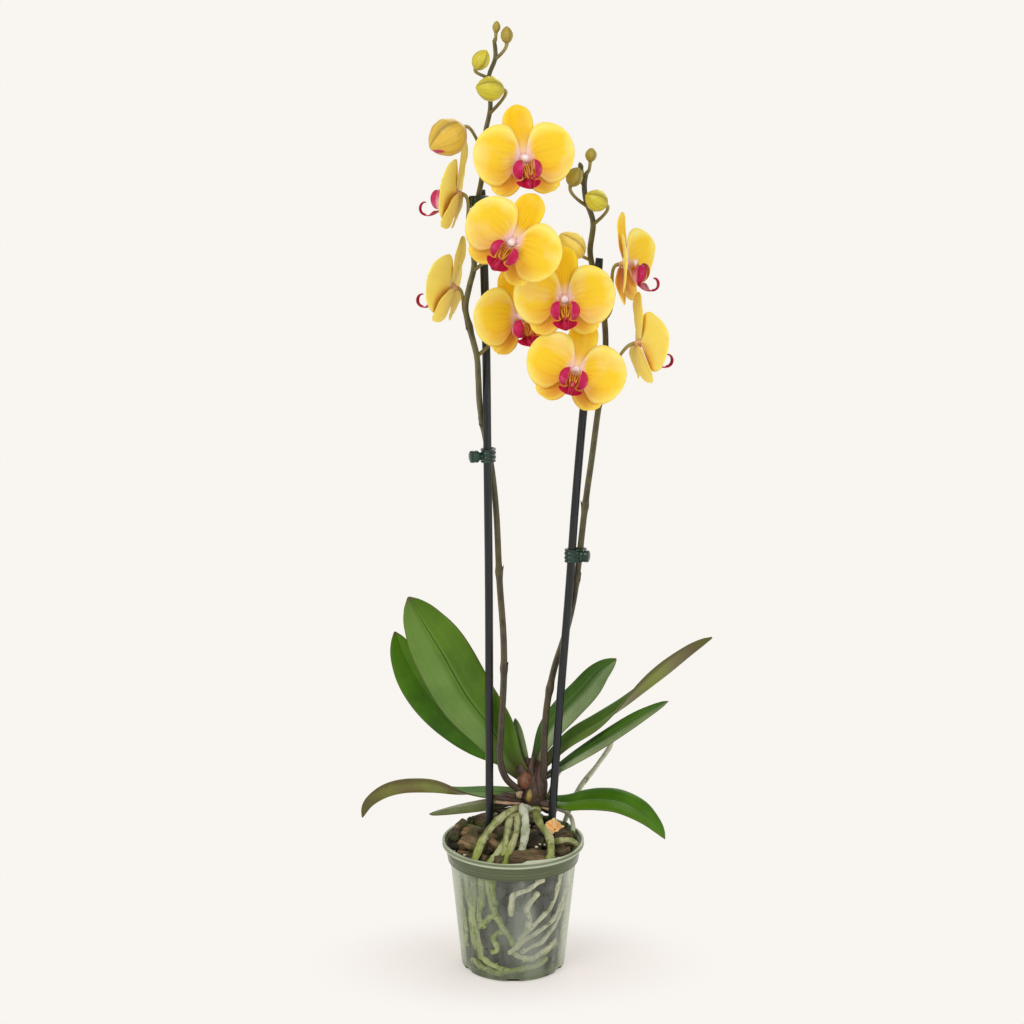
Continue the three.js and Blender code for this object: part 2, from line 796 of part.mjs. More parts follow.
// A sepal points away from the hub at an angle from upright.
function sepal({ outline, raise, bend }, degrees) {
  const angle = THREE.MathUtils.degToRad(degrees);
  const reach = outline[outline.length - 1][0];
  const place = (u, v) => {
    const along = alongOutline(outline, 0, u);
    const across = alongOutline(outline, 1, u) * v;
    const x = along * Math.sin(angle) + across * Math.cos(angle);
    const y = along * Math.cos(angle) - across * Math.sin(angle);
    const z = raise + bend * (along / reach) ** 2 - 1.6 * v * v * u;
    return new THREE.Vector3(x, y, z);
  };
  return blade(outline.length - 1, 2, place, () => TEPAL_THICKNESS);
}

function hub() {
  const across = new THREE.Vector3(1, 0, 0);
  const up = new THREE.Vector3(0, 1, 0);
  const rings = [];
  const outline = [[0, 0.45], [1, 1]];
  outline.forEach(([along, share]) => {
    const centre = new THREE.Vector3(0, 0, -HUB.depth * (1 - along));
    const radius = HUB.radius * share;
    rings.push(ringAround(centre, across, up, radius, radius, HUB.sides));
  });
  return loft(rings);
}

function tepals({ cup, splay }) {
  return fused([
    hub(),
    petal(1, cup),
    petal(-1, cup),
    sepal(DORSAL, DORSAL.angle),
    sepal(LATERAL, splay),
    sepal(LATERAL, -splay),
  ]);
}

// A side lobe stands up and forward beside the column, broad, with its top curled in.
function sideLobe(side) {
  const place = (u, v) => {
    const swing = Math.sin(Math.PI * (0.04 + 0.8 * u));
    const wide = 0.35 + 0.65 * Math.sin(Math.PI * (0.1 + 0.75 * u));
    const x = 1.6 + 7 * swing - LIP.lobeWidth * wide * v;
    const forward = 9 + 4 * u + 0.4 * LIP.lobeReach * wide * v;
    return new THREE.Vector3(side * x, -14 + LIP.lobeHeight * u, forward);
  };
  return blade(3, 2, place, () => LIP.thickness);
}

// The middle lobe is a broad arrow that runs forward and ends in a tendril curled up.
function middleLobe() {
  const outline = [[0, 0.35], [0.2, 0.55], [0.4, 1], [0.6, 0.5], [0.8, 0.14], [1, 0.1]];
  const profile = new THREE.CatmullRomCurve3([
    vector([0, -12, 5]), vector([0, -16, 10]), vector([0, -19, 16]), vector([0, -20, 21]),
    vector([0, -17, 25]), vector([0, -12, 25]),
  ]);
  const place = (u, v) => {
    const centre = profile.getPointAt(u);
    const width = LIP.midWidth * valueAt(outline, u);
    const cup = width * 0.28 * v * v;
    return new THREE.Vector3(centre.x + width * v, centre.y + cup, centre.z - 0.25 * cup);
  };
  return blade(5, 2, place, () => LIP.thickness);
}

function callus() {
  const spine = curveThrough([[0, -4, CLEARANCE], [0, -5, 3.5], [0, -10, 8], [0, -13, 12]]);
  const shape = [[0, 0.4], [0.35, 0.7], [0.75, 1], [1, 0.5]];
  return stalk(spine, (t) => 3.8 * valueAt(shape, t), 5, 3);
}

function lipBody() {
  return fused([callus(), sideLobe(1), sideLobe(-1), middleLobe()]);
}

function columnBody() {
  const start = new THREE.Vector3(0, 0.7, COLUMN.foot);
  const end = new THREE.Vector3(0, -0.6, COLUMN.foot + COLUMN.length);
  const shape = [[0, 0.75], [0.67, 1.1], [1, 0.5]];
  const line = new THREE.LineCurve3(start, end);
  return stalk(line, (t) => COLUMN.radius * valueAt(shape, t), COLUMN.sides, 3);
}

// ---- crown, leaves and roots ----

// The short stem wrapped in leaf sheaths, made larger all round by an extra amount.
function crownShape(extra) {
  const outline = [[0, 0.72], [0.14, 0.95], [0.42, 1], [0.66, 0.92], [0.86, 0.66], [1, 0.3]];
  const spine = curveThrough([[17, 12, 136], [17, 14, 150], [16, 16, 162], [14, 18, 174]]);
  const across = new THREE.Vector3(1, 0, 0);
  const away = new THREE.Vector3(0, 1, 0);
  const last = outline.length - 1;
  const rings = outline.map(([along, share], k) => {
    const centre = spine.getPointAt(along);
    if (k === 0) {
      centre.z -= extra;
    }
    if (k === last) {
      centre.z += extra;
    }
    const [width, depth] = [CROWN.width * share + extra, CROWN.depth * share + extra];
    return ringAround(centre, across, away, width, depth, CROWN.sides);
  });
  return loft(rings);
}

function leafBody({ spine, sides, width, fold }) {
  const curve = curveThrough(spine);
  const [startSide, endSide] = sides.map((side) => vector(side).normalize());
  const outline = [
    [0, 0.3], [0.1, 0.42], [0.3, 0.82], [0.5, 1], [0.72, 0.96], [0.88, 0.66], [0.96, 0.34], [1, 0.06],
  ];
  const place = (u, v) => {
    const along = 1 - (1 - u) ** 1.25;
    const centre = curve.getPointAt(along);
    const ahead = curve.getTangentAt(along);
    const side = startSide.clone().lerp(endSide, along);
    side.addScaledVector(ahead, -side.dot(ahead)).normalize();
    const up = side.clone().cross(ahead).normalize();
    const out = width * valueAt(outline, along);
    return centre.addScaledVector(side, out * v).addScaledVector(up, fold * out * Math.abs(v));
  };
  const thick = (u, v) => LEAF.thickness + (LEAF.edge - LEAF.thickness) * Math.abs(v);
  return without(blade(LEAF.rows, LEAF.columns, place, thick), [crownShape(CLEARANCE)]);
}

// A root, or with an extra amount the room that it takes up, a little longer at its end.
function rootTube({ path, radius }, extra) {
  const [before, end] = path.slice(-2).map(vector);
  const further = end.clone().add(end.clone().sub(before).setLength(2 * extra));
  const curve = curveThrough([...path.slice(0, -1), further.toArray()]);
  const shape = [[0, 0.9], [0.5, 1], [0.9, 0.95], [1, 0.6]];
  return stalk(curve, (t) => radius * valueAt(shape, t) + extra, 5, Math.round(1.3 * path.length));
}

// All the roots on one short stub under the crown.
function aerialRoots() {
  const across = new THREE.Vector3(1, 0, 0);
  const away = new THREE.Vector3(0, 1, 0);
  const stub = [[127, 0.6], [130, 1], [136 - 2 * CLEARANCE, 0.85]].map(([height, share]) => {
    const centre = new THREE.Vector3(17, 12, height);
    return ringAround(centre, across, away, 9 * share, 7 * share, 8);
  });
  const roots = ROOTS.map((root) => rootTube(root, 0));
  return without(fused([loft(stub), ...roots]), [crownShape(CLEARANCE)]);
}

// A dry flower bract that has fallen on the bark.
function fallenBract() {
  const place = (u, v) => {
    const angle = 2.6 * v;
    const flare = 3.6 + 3.4 * u + 1.2 * u * Math.sin(3 * angle);
    const [x, y] = [flare * Math.cos(angle), flare * Math.sin(angle)];
    return new THREE.Vector3(35 + x, -8 + 0.8 * y, 115.2 + 9 * u + 0.25 * x);
  };
  return blade(2, 6, place, () => 0.8);
}

// ---- assembly ----

function finish(colour, roughness) {
  return new THREE.MeshStandardMaterial({ color: colour, roughness, metalness: 0 });
}

function add(group, name, geometry, material) {
  const mesh = new THREE.Mesh(geometry, material);
  mesh.name = name;
  group.add(mesh);
}

function pottedOrchid() {
  const plant = new THREE.Group();
  plant.name = 'potted_orchid';
  add(plant, 'pot', potBody(), finish(COLOURS.pot, 0.35));
  add(plant, 'growing_medium', growingMedium(), finish(COLOURS.medium, 0.95));
  Object.entries(STAKES).forEach(([name, points]) => {
    add(plant, name, stakeRod(curveThrough(points), STAKE.radius, 0), finish(COLOURS.stake, 0.45));
  });
  Object.entries(CLIPS).forEach(([name, clip]) => {
    add(plant, name, clipBody(clip), finish(COLOURS.clip, 0.4));
  });
  add(plant, 'crown', crownShape(0), finish(COLOURS.crown, 0.6));
  add(plant, 'aerial_roots', aerialRoots(), finish(COLOURS.root, 0.7));
  Object.entries(LEAVES).forEach(([name, leaf]) => {
    add(plant, name, leafBody(leaf), finish(COLOURS.leaf, 0.45));
  });
  Object.keys(SPIKES).forEach((name) => {
    add(plant, name, spikeBody(name), finish(COLOURS.stem, 0.55));
  });
  Object.entries(FLOWERS).forEach(([name, flower]) => {
    const frame = placement(flower);
    add(plant, `${name}_tepals`, tepals(flower).applyMatrix4(frame), finish(COLOURS.petal, 0.6));
    add(plant, `${name}_lip`, lipBody().applyMatrix4(frame), finish(COLOURS.lip, 0.5));
    add(plant, `${name}_column`, columnBody().applyMatrix4(frame), finish(COLOURS.column, 0.5));
  });
  Object.entries(BUDS).forEach(([name, bud]) => {
    add(plant, name, budBody(bud), finish(COLOURS.bud, 0.5));
  });
  add(plant, 'fallen_bract', fallenBract(), finish(COLOURS.bract, 0.8));
  return plant;
}

export default pottedOrchid();
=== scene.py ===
"""Potted moth orchid: its looks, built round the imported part.

Lengths are written in millimetres and become metres as each piece is made. +Z is up and the
flowers face -Y.
"""
import math

import bpy
import numpy as np
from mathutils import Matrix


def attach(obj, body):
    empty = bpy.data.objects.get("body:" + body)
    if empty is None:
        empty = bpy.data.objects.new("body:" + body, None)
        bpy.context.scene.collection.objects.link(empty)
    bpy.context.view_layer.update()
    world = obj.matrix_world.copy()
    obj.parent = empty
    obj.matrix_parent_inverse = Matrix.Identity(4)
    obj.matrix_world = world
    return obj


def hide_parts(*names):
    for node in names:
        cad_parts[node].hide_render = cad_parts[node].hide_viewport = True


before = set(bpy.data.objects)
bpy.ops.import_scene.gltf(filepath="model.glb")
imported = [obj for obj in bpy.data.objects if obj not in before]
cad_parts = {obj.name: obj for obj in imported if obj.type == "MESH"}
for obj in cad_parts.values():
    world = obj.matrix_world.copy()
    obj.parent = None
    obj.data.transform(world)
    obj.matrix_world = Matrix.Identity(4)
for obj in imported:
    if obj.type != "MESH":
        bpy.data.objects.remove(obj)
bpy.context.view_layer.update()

MM = 0.001

# ---- where things are, in millimetres, as in the part's source ----

POT = {
    "height": 110, "rim": 60, "mouth": 57.4, "foot": 43.7, "shoulder": 53.2,
    "collar_bottom": 93, "collar": 55.2, "collar_top": 57, "wall": 1.3,
    "slots": 6, "slot_width": 10, "slot_height": 3.2,
}
MEDIUM = {"edge": 103, "mound": 112, "roughness": 1.6}

STAKE_RADIUS = 3.4
STAKES = {
    "stake_left": [[-20, 8, 98], [-20, 7, 313], [-21, 8, 439], [-22, 12, 535], [-25, 10, 647]],
    "stake_right": [
        [31, 4, 98], [39, 6, 227], [46, 8, 321], [51, 10, 397], [57, 12, 471], [69, 14, 593],
    ],
}
CLIPS = {
    "clip_left_lower": ("stake_left", 434, "spike_left", [-1, -0.35]),
    "clip_left_upper": ("stake_left", 637, "spike_left", [-0.7, 0.2]),
    "clip_right": ("stake_right", 351, "spike_right", [1, -0.35]),
}

SPIKES = {
    "spike_left": [
        [6, 6, 149], [-6, -1, 163], [-11, -3, 180], [-10, -2, 206], [-8, 1, 245], [-8, 3, 281],
        [-11, 7, 327], [-14, 13, 387], [-18, 14, 424], [-22, 15, 444], [-27, 13, 474],
        [-28, 5, 498], [-29, -3, 516], [-34, -3, 536], [-38, -1, 554], [-35, -1, 571],
        [-31, 0, 588], [-33, 1, 610], [-29, 1, 634], [-24, 1, 660], [-22, 1, 690],
        [-18, 2, 710], [-19, 0, 734], [-14, -1, 748], [-15, -2, 763],
    ],
    "spike_right": [
        [22, 10, 148], [26, 5, 167], [26, 6, 190], [28, 10, 221], [34, 16, 252], [44, 17, 284],
        [50, 16, 311], [54, 12, 345], [57, 10, 376], [60, 8, 403], [64, 6, 433], [68, 5, 467],
        [72, 4, 499], [74, 4, 526], [71, 5, 559], [63, 5, 587], [61, 4, 599], [63, 3, 622],
        [57, 2, 640], [56, 2, 653], [58, 2, 662],
    ],
}
SPIKE_TAPER = [[150, 2.9], [420, 2.5], [600, 2.3], [700, 1.9], [770, 1.6]]
BRACTS = {
    "spike_left": [(257, 1), (337, 1), (460, -1), (540, -1)],
    "spike_right": [(236, 1), (330, 1), (392, -1), (480, -1)],
}

# The column's foot, then turn, nod and roll in degrees, how far the petals close forward, the
# lateral sepals' angle from upright, the spike and the height of the stalk.
FLOWERS = {
    "flower_1": ([8, -30, 671], 12, 0, 4, 0, 138, "spike_left", 664),
    "flower_2": ([-46, -3, 645], -100, -12, 0, 0.02, 140, "spike_left", 606),
    "flower_3": ([-1, -40, 608], -8, 4, -33, 0, 138, "spike_left", 584),
    "flower_4": ([-50, 8, 571], -108, -14, 0, 0.12, 140, "spike_left", 548),
    "flower_5": ([5, 5, 547], 22, 0, 10, 0, 138, "spike_left", 516),
    "flower_6": ([40, -24, 563], 2, 0, 0, 0, 138, "spike_right", 548),
    "flower_7": ([49, -26, 507], 2, -15, -17, 0, 138, "spike_right", 494),
    "flower_8": ([90, 2, 589], 70, -4, 4, 0.25, 150, "spike_right", 545),
    "flower_9": ([102, -4, 527], 104, -6, 3, 0.18, 150, "spike_right", 500),
}

# The middle, the way of the tip, length and width, the spike and the height of the stalk.
BUDS = {
    "bud_left_1": ([-51, -20, 687], [-0.8, -0.3, -0.5], (32, 30), "spike_left", 678),
    "bud_left_2": ([-18, -14, 724], [-1, -0.2, 0.1], (22, 20), "spike_left", 706),
    "bud_left_3": ([-25, -8, 746], [0.5, -0.2, 0.8], (17, 14), "spike_left", 732),
    "bud_left_4": ([-5, -4, 765], [0, -0.1, 1], (13, 10), "spike_left", 747),
    "bud_left_5": ([-13, -4, 771], [0.1, -0.2, 1], (9, 6.5), "spike_left", 760),
    "bud_right_1": ([46, -4, 604], [-0.6, -0.3, 0.6], (26, 22), "spike_right", 592),
    "bud_right_2": ([65, -9, 639], [-0.8, -0.2, 0.4], (19, 18), "spike_right", 620),
    "bud_right_3": ([48, -5, 657], [0.4, -0.2, 0.9], (16, 14), "spike_right", 634),
    "bud_right_4": ([61, 1, 674], [0.1, -0.1, 1], (11, 9.5), "spike_right", 659),
}

# A tiny bud that isn't a node of its own: the same values, it belongs to the spike.
TINY_BUD = ([53, 2, 665], [-0.3, 0, 1], (7, 4.4), "spike_right", 651)

# The middle line, the way of the leaf's side at both ends, half the width, the fold and the finish.
LEAVES = {
    "leaf_upper_left": (
        [
            [11, 14, 158], [-1, 14, 172], [-18, 18, 200], [-39, 23, 227], [-60, 28, 263],
            [-77, 31, 291], [-88, 33, 310],
        ],
        ([0.7, -0.5, 0.55], [0.82, 0.1, 0.5]), 25, 0.16, "leaf_sheen_left",
    ),
    "leaf_left_behind": (
        [[10, 20, 160], [-10, 27, 173], [-42, 38, 192], [-71, 46, 218], [-91, 51, 249], [-101, 53, 275]],
        ([0.3, -0.5, 0.8], [0.85, 0.1, 0.5]), 17, 0.15, "leaf_bright",
    ),
    "leaf_left_arched": (
        [
            [11, 17, 145], [-20, 27, 140.6], [-47, 30, 138], [-71, 33, 138.6], [-94, 35, 137.6],
            [-109, 36, 133.4], [-122, 37, 125], [-130, 38, 114],
        ],
        ([0, -1, -0.25], [0, -1, -0.1]), 16, 0.12, "leaf_bright",
    ),
    "leaf_left_low": (
        [[11, 12, 140], [-27, 24, 130], [-49, 32, 123.8], [-72, 38, 117]],
        ([0, -0.78, -0.62], [0, -1, 0]), 8.6, 0.1, "leaf_dry",
    ),
    "leaf_right_short": (
        [[17, 20, 166], [31, 32, 194], [46, 39, 211], [61, 44, 226], [74, 48, 241], [88, 50, 252]],
        ([0.6, -0.5, -0.5], [0.75, -0.1, -0.6]), 12, 0.22, "leaf_sheen",
    ),
    "leaf_right_long": (
        [
            [20, 18, 162], [48, 22, 189], [72, 24, 203], [92, 26, 215.4], [111, 27, 230],
            [131, 28, 246], [150, 29, 262.4], [167, 30, 276],
        ],
        ([0.35, -0.75, -0.45], [0.1, -1, 0]), 14, 0.16, "leaf_dull",
    ),
    "leaf_right_middle": (
        [[21, 17, 153], [56, 15, 177], [77, 11, 192], [106, 6, 213], [129, 4, 228]],
        ([0.3, -0.9, -0.1], [0.3, -0.9, -0.1]), 11, 0.2, "leaf_sheen",
    ),
    "leaf_right_arched": (
        [
            [20, 16, 139], [45, 15, 135.6], [60, 10, 139.6], [73, 5, 142], [89, 0, 141.6],
            [108, -4, 133.4], [121, -6, 121], [127, -8, 112],
        ],
        ([0, -1, -0.45], [-0.3, -1, -0.5]), 13.4, 0.12, "leaf_bright",
    ),
    "leaf_new": (
        [[13, 18, 164], [8, 19, 179], [4.6, 20, 192], [1.6, 21, 208]],
        ([0.9, 0.1, 0.2], [0.9, 0.1, 0.2]), 4.5, 0.3, "leaf_sheen",
    ),
}
LEAF_OUTLINE = [
    [0, 0.3], [0.1, 0.47], [0.3, 0.86], [0.5, 1], [0.72, 0.96], [0.88, 0.66], [0.96, 0.34], [1, 0.03],
]

# Aerial roots: the points that each passes and its radius.
ROOTS = [
    ([[12, 8, 131], [1, 2, 134], [-15, -14, 128], [-24, -26, 120], [-32, -38, 104]], 3.1),
    ([[13, 8, 131], [-1, -4, 129], [-5, -18, 122], [-7, -32, 110], [-8, -38, 102]], 2.9),
    ([[14, 7, 131], [5, -4, 131], [3, -18, 123], [-1, -30, 115], [-7, -43, 102]], 2.8),
    ([[15, 8, 132], [8, -1, 137], [10, -11, 133], [10, -21, 123], [6, -32, 106]], 3.3),
    (
        [[19, 8, 131], [19, -2, 131], [23, -12, 126], [30, -25, 119], [31, -36, 112], [29, -42, 103]],
        3,
    ),
    ([[33, -16, 112], [41, -16, 113.6], [48, -14, 112.6], [53, -11, 108], [53, -8, 102]], 2.5),
    ([[-2, -14, 121], [-7, -24, 115], [-13, -33, 109], [-20, -40, 102]], 3),
    (
        [
            [20, 16, 131], [30, 24, 138], [39, 25, 160], [58, 29, 176], [76, 36, 186], [84, 43, 180],
            [73, 44, 160], [56, 39, 138], [40, 28, 103],
        ],
        2.2,
    ),
    ([[20, 14, 131], [34, 24, 128], [48, 22, 122], [51, 14, 112], [48, 8, 103]], 1.8),
]
WHITE_ROOTS = (3, 7, 8)

# Roots inside the pot, against the wall: angle from the front in degrees and height at each point,
# the radius, and whether the root is pale.
WALL_ROOTS = [
    ([(-52, 97), (-54, 76), (-50, 58), (-52, 40), (-46, 22)], 3.8, False),
    ([(-43, 97), (-44, 74), (-48, 54), (-42, 34), (-40, 14)], 4.2, False),
    ([(-35, 96), (-33, 76), (-38, 56), (-32, 44)], 3.6, False),
    ([(-27, 94), (-24, 78), (-20, 62), (-12, 50), (-4, 40), (0, 32)], 3.2, False),
    ([(-20, 92), (-21, 80), (-19, 70), (-22, 62)], 2.7, False),
    ([(-16, 60), (-24, 57), (-32, 51), (-41, 45)], 2.8, False),
    ([(-12, 46), (-22, 38), (-18, 28), (-26, 24)], 2.5, False),
    ([(32, 91), (20, 86), (8, 81), (0, 78), (-2, 68), (-2, 59)], 3.2, True),
    ([(26, 79), (14, 66), (17, 55), (12, 43), (4, 31), (-6, 25)], 3.1, True),
    ([(54, 94), (50, 80), (46, 68), (32, 56), (14, 45), (5, 36)], 2.9, True),
    ([(66, 74), (58, 62), (46, 50), (20, 41), (6, 33)], 2.7, True),
    ([(66, 62), (50, 44), (34, 34), (20, 30), (8, 26)], 2.5, True),
    ([(56, 30), (36, 24), (20, 20), (8, 22), (0, 26)], 2.6, True),
    ([(-38, 18), (-22, 12), (-6, 10), (8, 10), (26, 12), (44, 16)], 3.2, False),
    ([(-58, 12), (-40, 8), (-20, 6), (-4, 8)], 2.6, False),
    ([(10, 18), (26, 20), (44, 24), (60, 26)], 2.4, False),
    ([(76, 97), (74, 82), (76, 66), (70, 44), (74, 22)], 2.6, True),
    ([(84, 97), (86, 78), (80, 58), (84, 40)], 2.2, True),
    ([(-68, 94), (-70, 70), (-64, 44), (-66, 20)], 3.4, False),
    ([(-84, 90), (-80, 62), (-84, 38), (-78, 12)], 2.6, False),
    ([(-104, 92), (-98, 60), (-108, 38), (-98, 14)], 3, False),
    ([(-140, 92), (-128, 58), (-136, 34), (-118, 12)], 3.2, True),
    ([(174, 92), (160, 62), (170, 40), (150, 16)], 2.8, False),
    ([(130, 90), (140, 56), (122, 32), (130, 12)], 2.9, True),
    ([(102, 92), (108, 64), (96, 42), (104, 18)], 2.8, False),
    ([(-160, 30), (-130, 20), (-96, 24)], 2.6, False),
    ([(86, 26), (116, 16), (150, 24)], 2.6, True),
    ([(-170, 60), (-150, 74), (-120, 80), (-96, 70)], 2.4, True),
]

# A tepal's outline: the distance out from the hub, and the widths on its two sides there.
PETAL = [
    [2.2, 1.2, 1.2], [3.2, 3.6, 3.2], [4.6, 7.4, 6.4], [6.6, 12.2, 11], [9, 16.2, 15.8], [11.5, 19.4, 19.8],
    [15, 22, 23.4], [20, 23, 24.6], [26, 21.6, 23.2], [31.4, 18.4, 19.6], [35.6, 14.2, 14.8],
    [38.4, 9.4, 9.6], [39.8, 4.8, 4.8], [40.2, 0.3, 0.3],
]
PETAL_SHAPE = {"angle": 12, "raise": -1.6, "lift": 0.2, "bend": -4, "turned_back": 3}
DORSAL = [
    [3, 3.2, 3.2], [8, 6.6, 6.6], [14, 9.6, 9.6], [21, 11.4, 11.4], [28, 12, 12], [34, 10.6, 10.6],
    [38.4, 7, 7], [40.4, 3.2, 3.2], [41, 0.3, 0.3],
]
LATERAL = [[3, 3.2, 3.2], [10.6, 9.8, 9.8], [20.8, 12.9, 12.9], [29, 10.6, 10.6], [34.6, 2.5, 2.5]]
HUB_DEPTH = 6.8
CLEARANCE = 0.3

# In radians: how much random angles are drawn from, and the turn between a sunflower's neighbours.
FULL_TURN = 6.3
GOLDEN_ANGLE = 2.399963

# ---- curves and arrays ----


def unit(vectors):
    vectors = np.asarray(vectors, float)
    return vectors / np.maximum(np.linalg.norm(vectors, axis=-1, keepdims=True), 1e-9)


def spline(points, count):
    """Evenly spaced points on the centripetal Catmull-Rom curve through the given ones."""
    p = np.asarray(points, float)
    p = np.vstack([2 * p[0] - p[1], p, 2 * p[-1] - p[-2]])
    t = np.linspace(0, 1, 24, endpoint=False)[:, None]
    stretches = []
    for a, b, c, d in zip(p, p[1:], p[2:], p[3:]):
        ab, bc, cd = (max(np.linalg.norm(q), 1e-6) ** 0.5 for q in (b - a, c - b, d - c))
        start = bc * ((b - a) / ab - (c - a) / (ab + bc) + (c - b) / bc)
        end = bc * ((c - b) / bc - (d - b) / (bc + cd) + (d - c) / cd)
        square = 3 * (c - b) - 2 * start - end
        cube = 2 * (b - c) + start + end
        stretches.append(b + start * t + square * t**2 + cube * t**3)
    line = np.vstack([*stretches, p[-2:-1]])
    length = np.r_[0, np.cumsum(np.linalg.norm(np.diff(line, axis=0), axis=1))]
    even = np.linspace(0, length[-1], count)
    return np.stack([np.interp(even, length, line[:, k]) for k in range(p.shape[1])], axis=1)


def at_height(points, height):
    """The point of a rising curve at a height."""
    line = spline(points, 400)
    return line[np.argmin(np.abs(line[:, 2] - height))]


def steps(table, x):
    """Reads values off a table of [position, value] pairs."""
    xs, ys = zip(*table)
    return np.interp(x, xs, ys)


def polar(out, angle, z):
    return [out * math.cos(angle), out * math.sin(angle), z]


def rotation(axis, degrees):
    c, s = math.cos(math.radians(degrees)), math.sin(math.radians(degrees))
    i, j = [(1, 2), (2, 0), (0, 1)][axis]
    matrix = np.eye(3)
    matrix[i, i] = matrix[j, j] = c
    matrix[i, j], matrix[j, i] = -s, s
    return matrix


def tilted(turn, nod, roll):
    return rotation(2, turn) @ rotation(0, nod) @ rotation(1, roll)


def facing(turn, nod, roll):
    """A flower's own axes in the part's frame: x to its right, y up, z out of its face."""
    return rotation(2, turn) @ rotation(0, nod) @ rotation(0, 90) @ rotation(2, roll)


def lumps(points, size, seed):
    """Smooth random values from -1 to 1 over space, made of a few sine waves."""
    draw = np.random.default_rng(seed)
    total = np.zeros(points.shape[:-1])
    for _ in range(5):
        way = unit(draw.normal(size=3)) * (0.7 + 0.9 * draw.random()) * 2 * math.pi / size
        total += np.sin(points @ way + FULL_TURN * draw.random())
    return total / 3


# ---- meshes ----


def link(name, data):
    """Puts a new object in the scene."""
    item = bpy.data.objects.new(name, data)
    bpy.context.scene.collection.objects.link(item)
    return item


class Surfaces:
    """The surfaces of one piece. Each point has a mark: two coordinates on its surface and a side."""

    def __init__(self):
        self.points, self.faces, self.marks, self.finishes = [], [], [], []
        self.count = 0

    def add(self, surface, finish=0, matrix=None, at=(0, 0, 0)):
        points, faces, marks = surface
        if matrix is not None:
            points = points @ matrix.T
        self.points.append(points + np.asarray(at, float))
        self.faces += [[i + self.count for i in face] for face in faces]
        self.finishes += [finish] * len(faces)
        self.marks.append(marks)
        self.count += len(points)
        return self

    def piece(self, name, finishes, slot, nodes=()):
        mesh = bpy.data.meshes.new(name)
        mesh.from_pydata((np.vstack(self.points) * MM).tolist(), [], self.faces)
        for finish in finishes:
            mesh.materials.append(FINISH[finish])
        mesh.polygons.foreach_set("material_index", self.finishes)
        mesh.polygons.foreach_set("use_smooth", [True] * len(self.faces))
        marks = mesh.attributes.new("mark", "FLOAT_VECTOR", "POINT")
        marks.data.foreach_set("vector", np.vstack(self.marks).astype(np.float32).ravel())
        mesh.validate()
        mesh.update()
        piece = link(name, mesh)
        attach(piece, "root")
        if nodes:
            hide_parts(*nodes)
        return piece

    def fine(self, node, finishes, slot):
        """The piece that takes the place of one node."""
        self.piece(f"{node}_fine", finishes, slot, [node])


def grid_faces(rows, columns, first=0):
    """Quads of a grid of points whose rows follow one another."""
    wide = columns + 1
    corners = [first + i * wide + j for i in range(rows) for j in range(columns)]
    return [[a, a + wide, a + wide + 1, a + 1] for a in corners]


def ring_faces(rings, sides, closed=False):
    """Quads between rings of points, and from the last ring to the first if the row is closed."""
    faces = []
    for i in range(rings if closed else rings - 1):
        this, after = i * sides, (i + 1) % rings * sides
        for j in range(sides):
            k = (j + 1) % sides
            faces.append([this + j, this + k, after + k, after + j])
    return faces


def capped_faces(rings, sides):
    """The same, with triangles from the first and the last ring to two points that come last."""
    faces = ring_faces(rings, sides)
    first, last = rings * sides, (rings - 1) * sides
    for j in range(sides):
        k = (j + 1) % sides
        faces += [[first, k, j], [first + 1, last + j, last + k]]
    return faces


def blade(place, rows, columns, thickness, rim=0.3):
    """A thin closed blade round the surface place(u, v), with u from 0 to 1 and v from -1 to 1.

    Its front, marked 1, is the side from which across points right when along points up.
    """
    u, v = np.meshgrid(np.linspace(0, 1, rows + 1), np.linspace(-1, 1, columns + 1), indexing="ij")
    middle = place(u, v)
    normal = unit(np.cross(np.gradient(middle, axis=1), np.gradient(middle, axis=0)))
    edge = np.maximum(np.abs(v) ** 10, np.maximum(u**24, (1 - u) ** 24))
    half = (thickness / 2 * (1 - (1 - rim) * edge))[..., None]
    count = (rows + 1) * (columns + 1)
    points = np.vstack([(middle + normal * way * half).reshape(-1, 3) for way in (1, -1)])
    marks = np.vstack([np.c_[u.ravel(), v.ravel(), np.full(count, way)] for way in (1, -1)])
    faces = [face[::-1] for face in grid_faces(rows, columns)]
    faces += grid_faces(rows, columns, count)
    border = [i * (columns + 1) for i in range(rows)]
    border += [rows * (columns + 1) + j for j in range(columns)]
    border += [i * (columns + 1) + columns for i in range(rows, 0, -1)]
    border += list(range(columns, 0, -1))
    faces += [[a, b, b + count, a + count] for a, b in zip(border, border[1:] + border[:1])]
    return points, faces, marks


def tube(path, radius, sides, shape=None):
    """A closed tube along a path. shape(t, angle) gives a factor on its radius."""
    path = np.asarray(path, float)
    count = len(path)
    tangent = unit(np.gradient(path, axis=0))
    normals = [unit(np.cross(tangent[0], [0, 1, 0] if abs(tangent[0][1]) < 0.8 else [1, 0, 0]))]
    for way in tangent[1:]:
        normals.append(unit(normals[-1] - way * (normals[-1] @ way)))
    normals = np.array(normals)
    binormals = np.cross(tangent, normals)
    angle = np.arange(sides) * 2 * math.pi / sides
    t = np.linspace(0, 1, count)
    size = np.broadcast_to(radius, count)[:, None] * np.ones((count, sides))
    if shape:
        size = size * shape(t[:, None], angle)
    ring = np.cos(angle)[:, None] * normals[:, None] + np.sin(angle)[:, None] * binormals[:, None]
    points = (path[:, None] + ring * size[..., None]).reshape(-1, 3)
    along, around = np.meshgrid(t, angle / math.pi - 1, indexing="ij")
    marks = np.c_[along.ravel(), around.ravel(), np.ones(count * sides)]
    ends = [[0, 0, 1], [1, 0, 1]]
    return np.vstack([points, path[0], path[-1]]), capped_faces(count, sides), np.vstack([marks, ends])


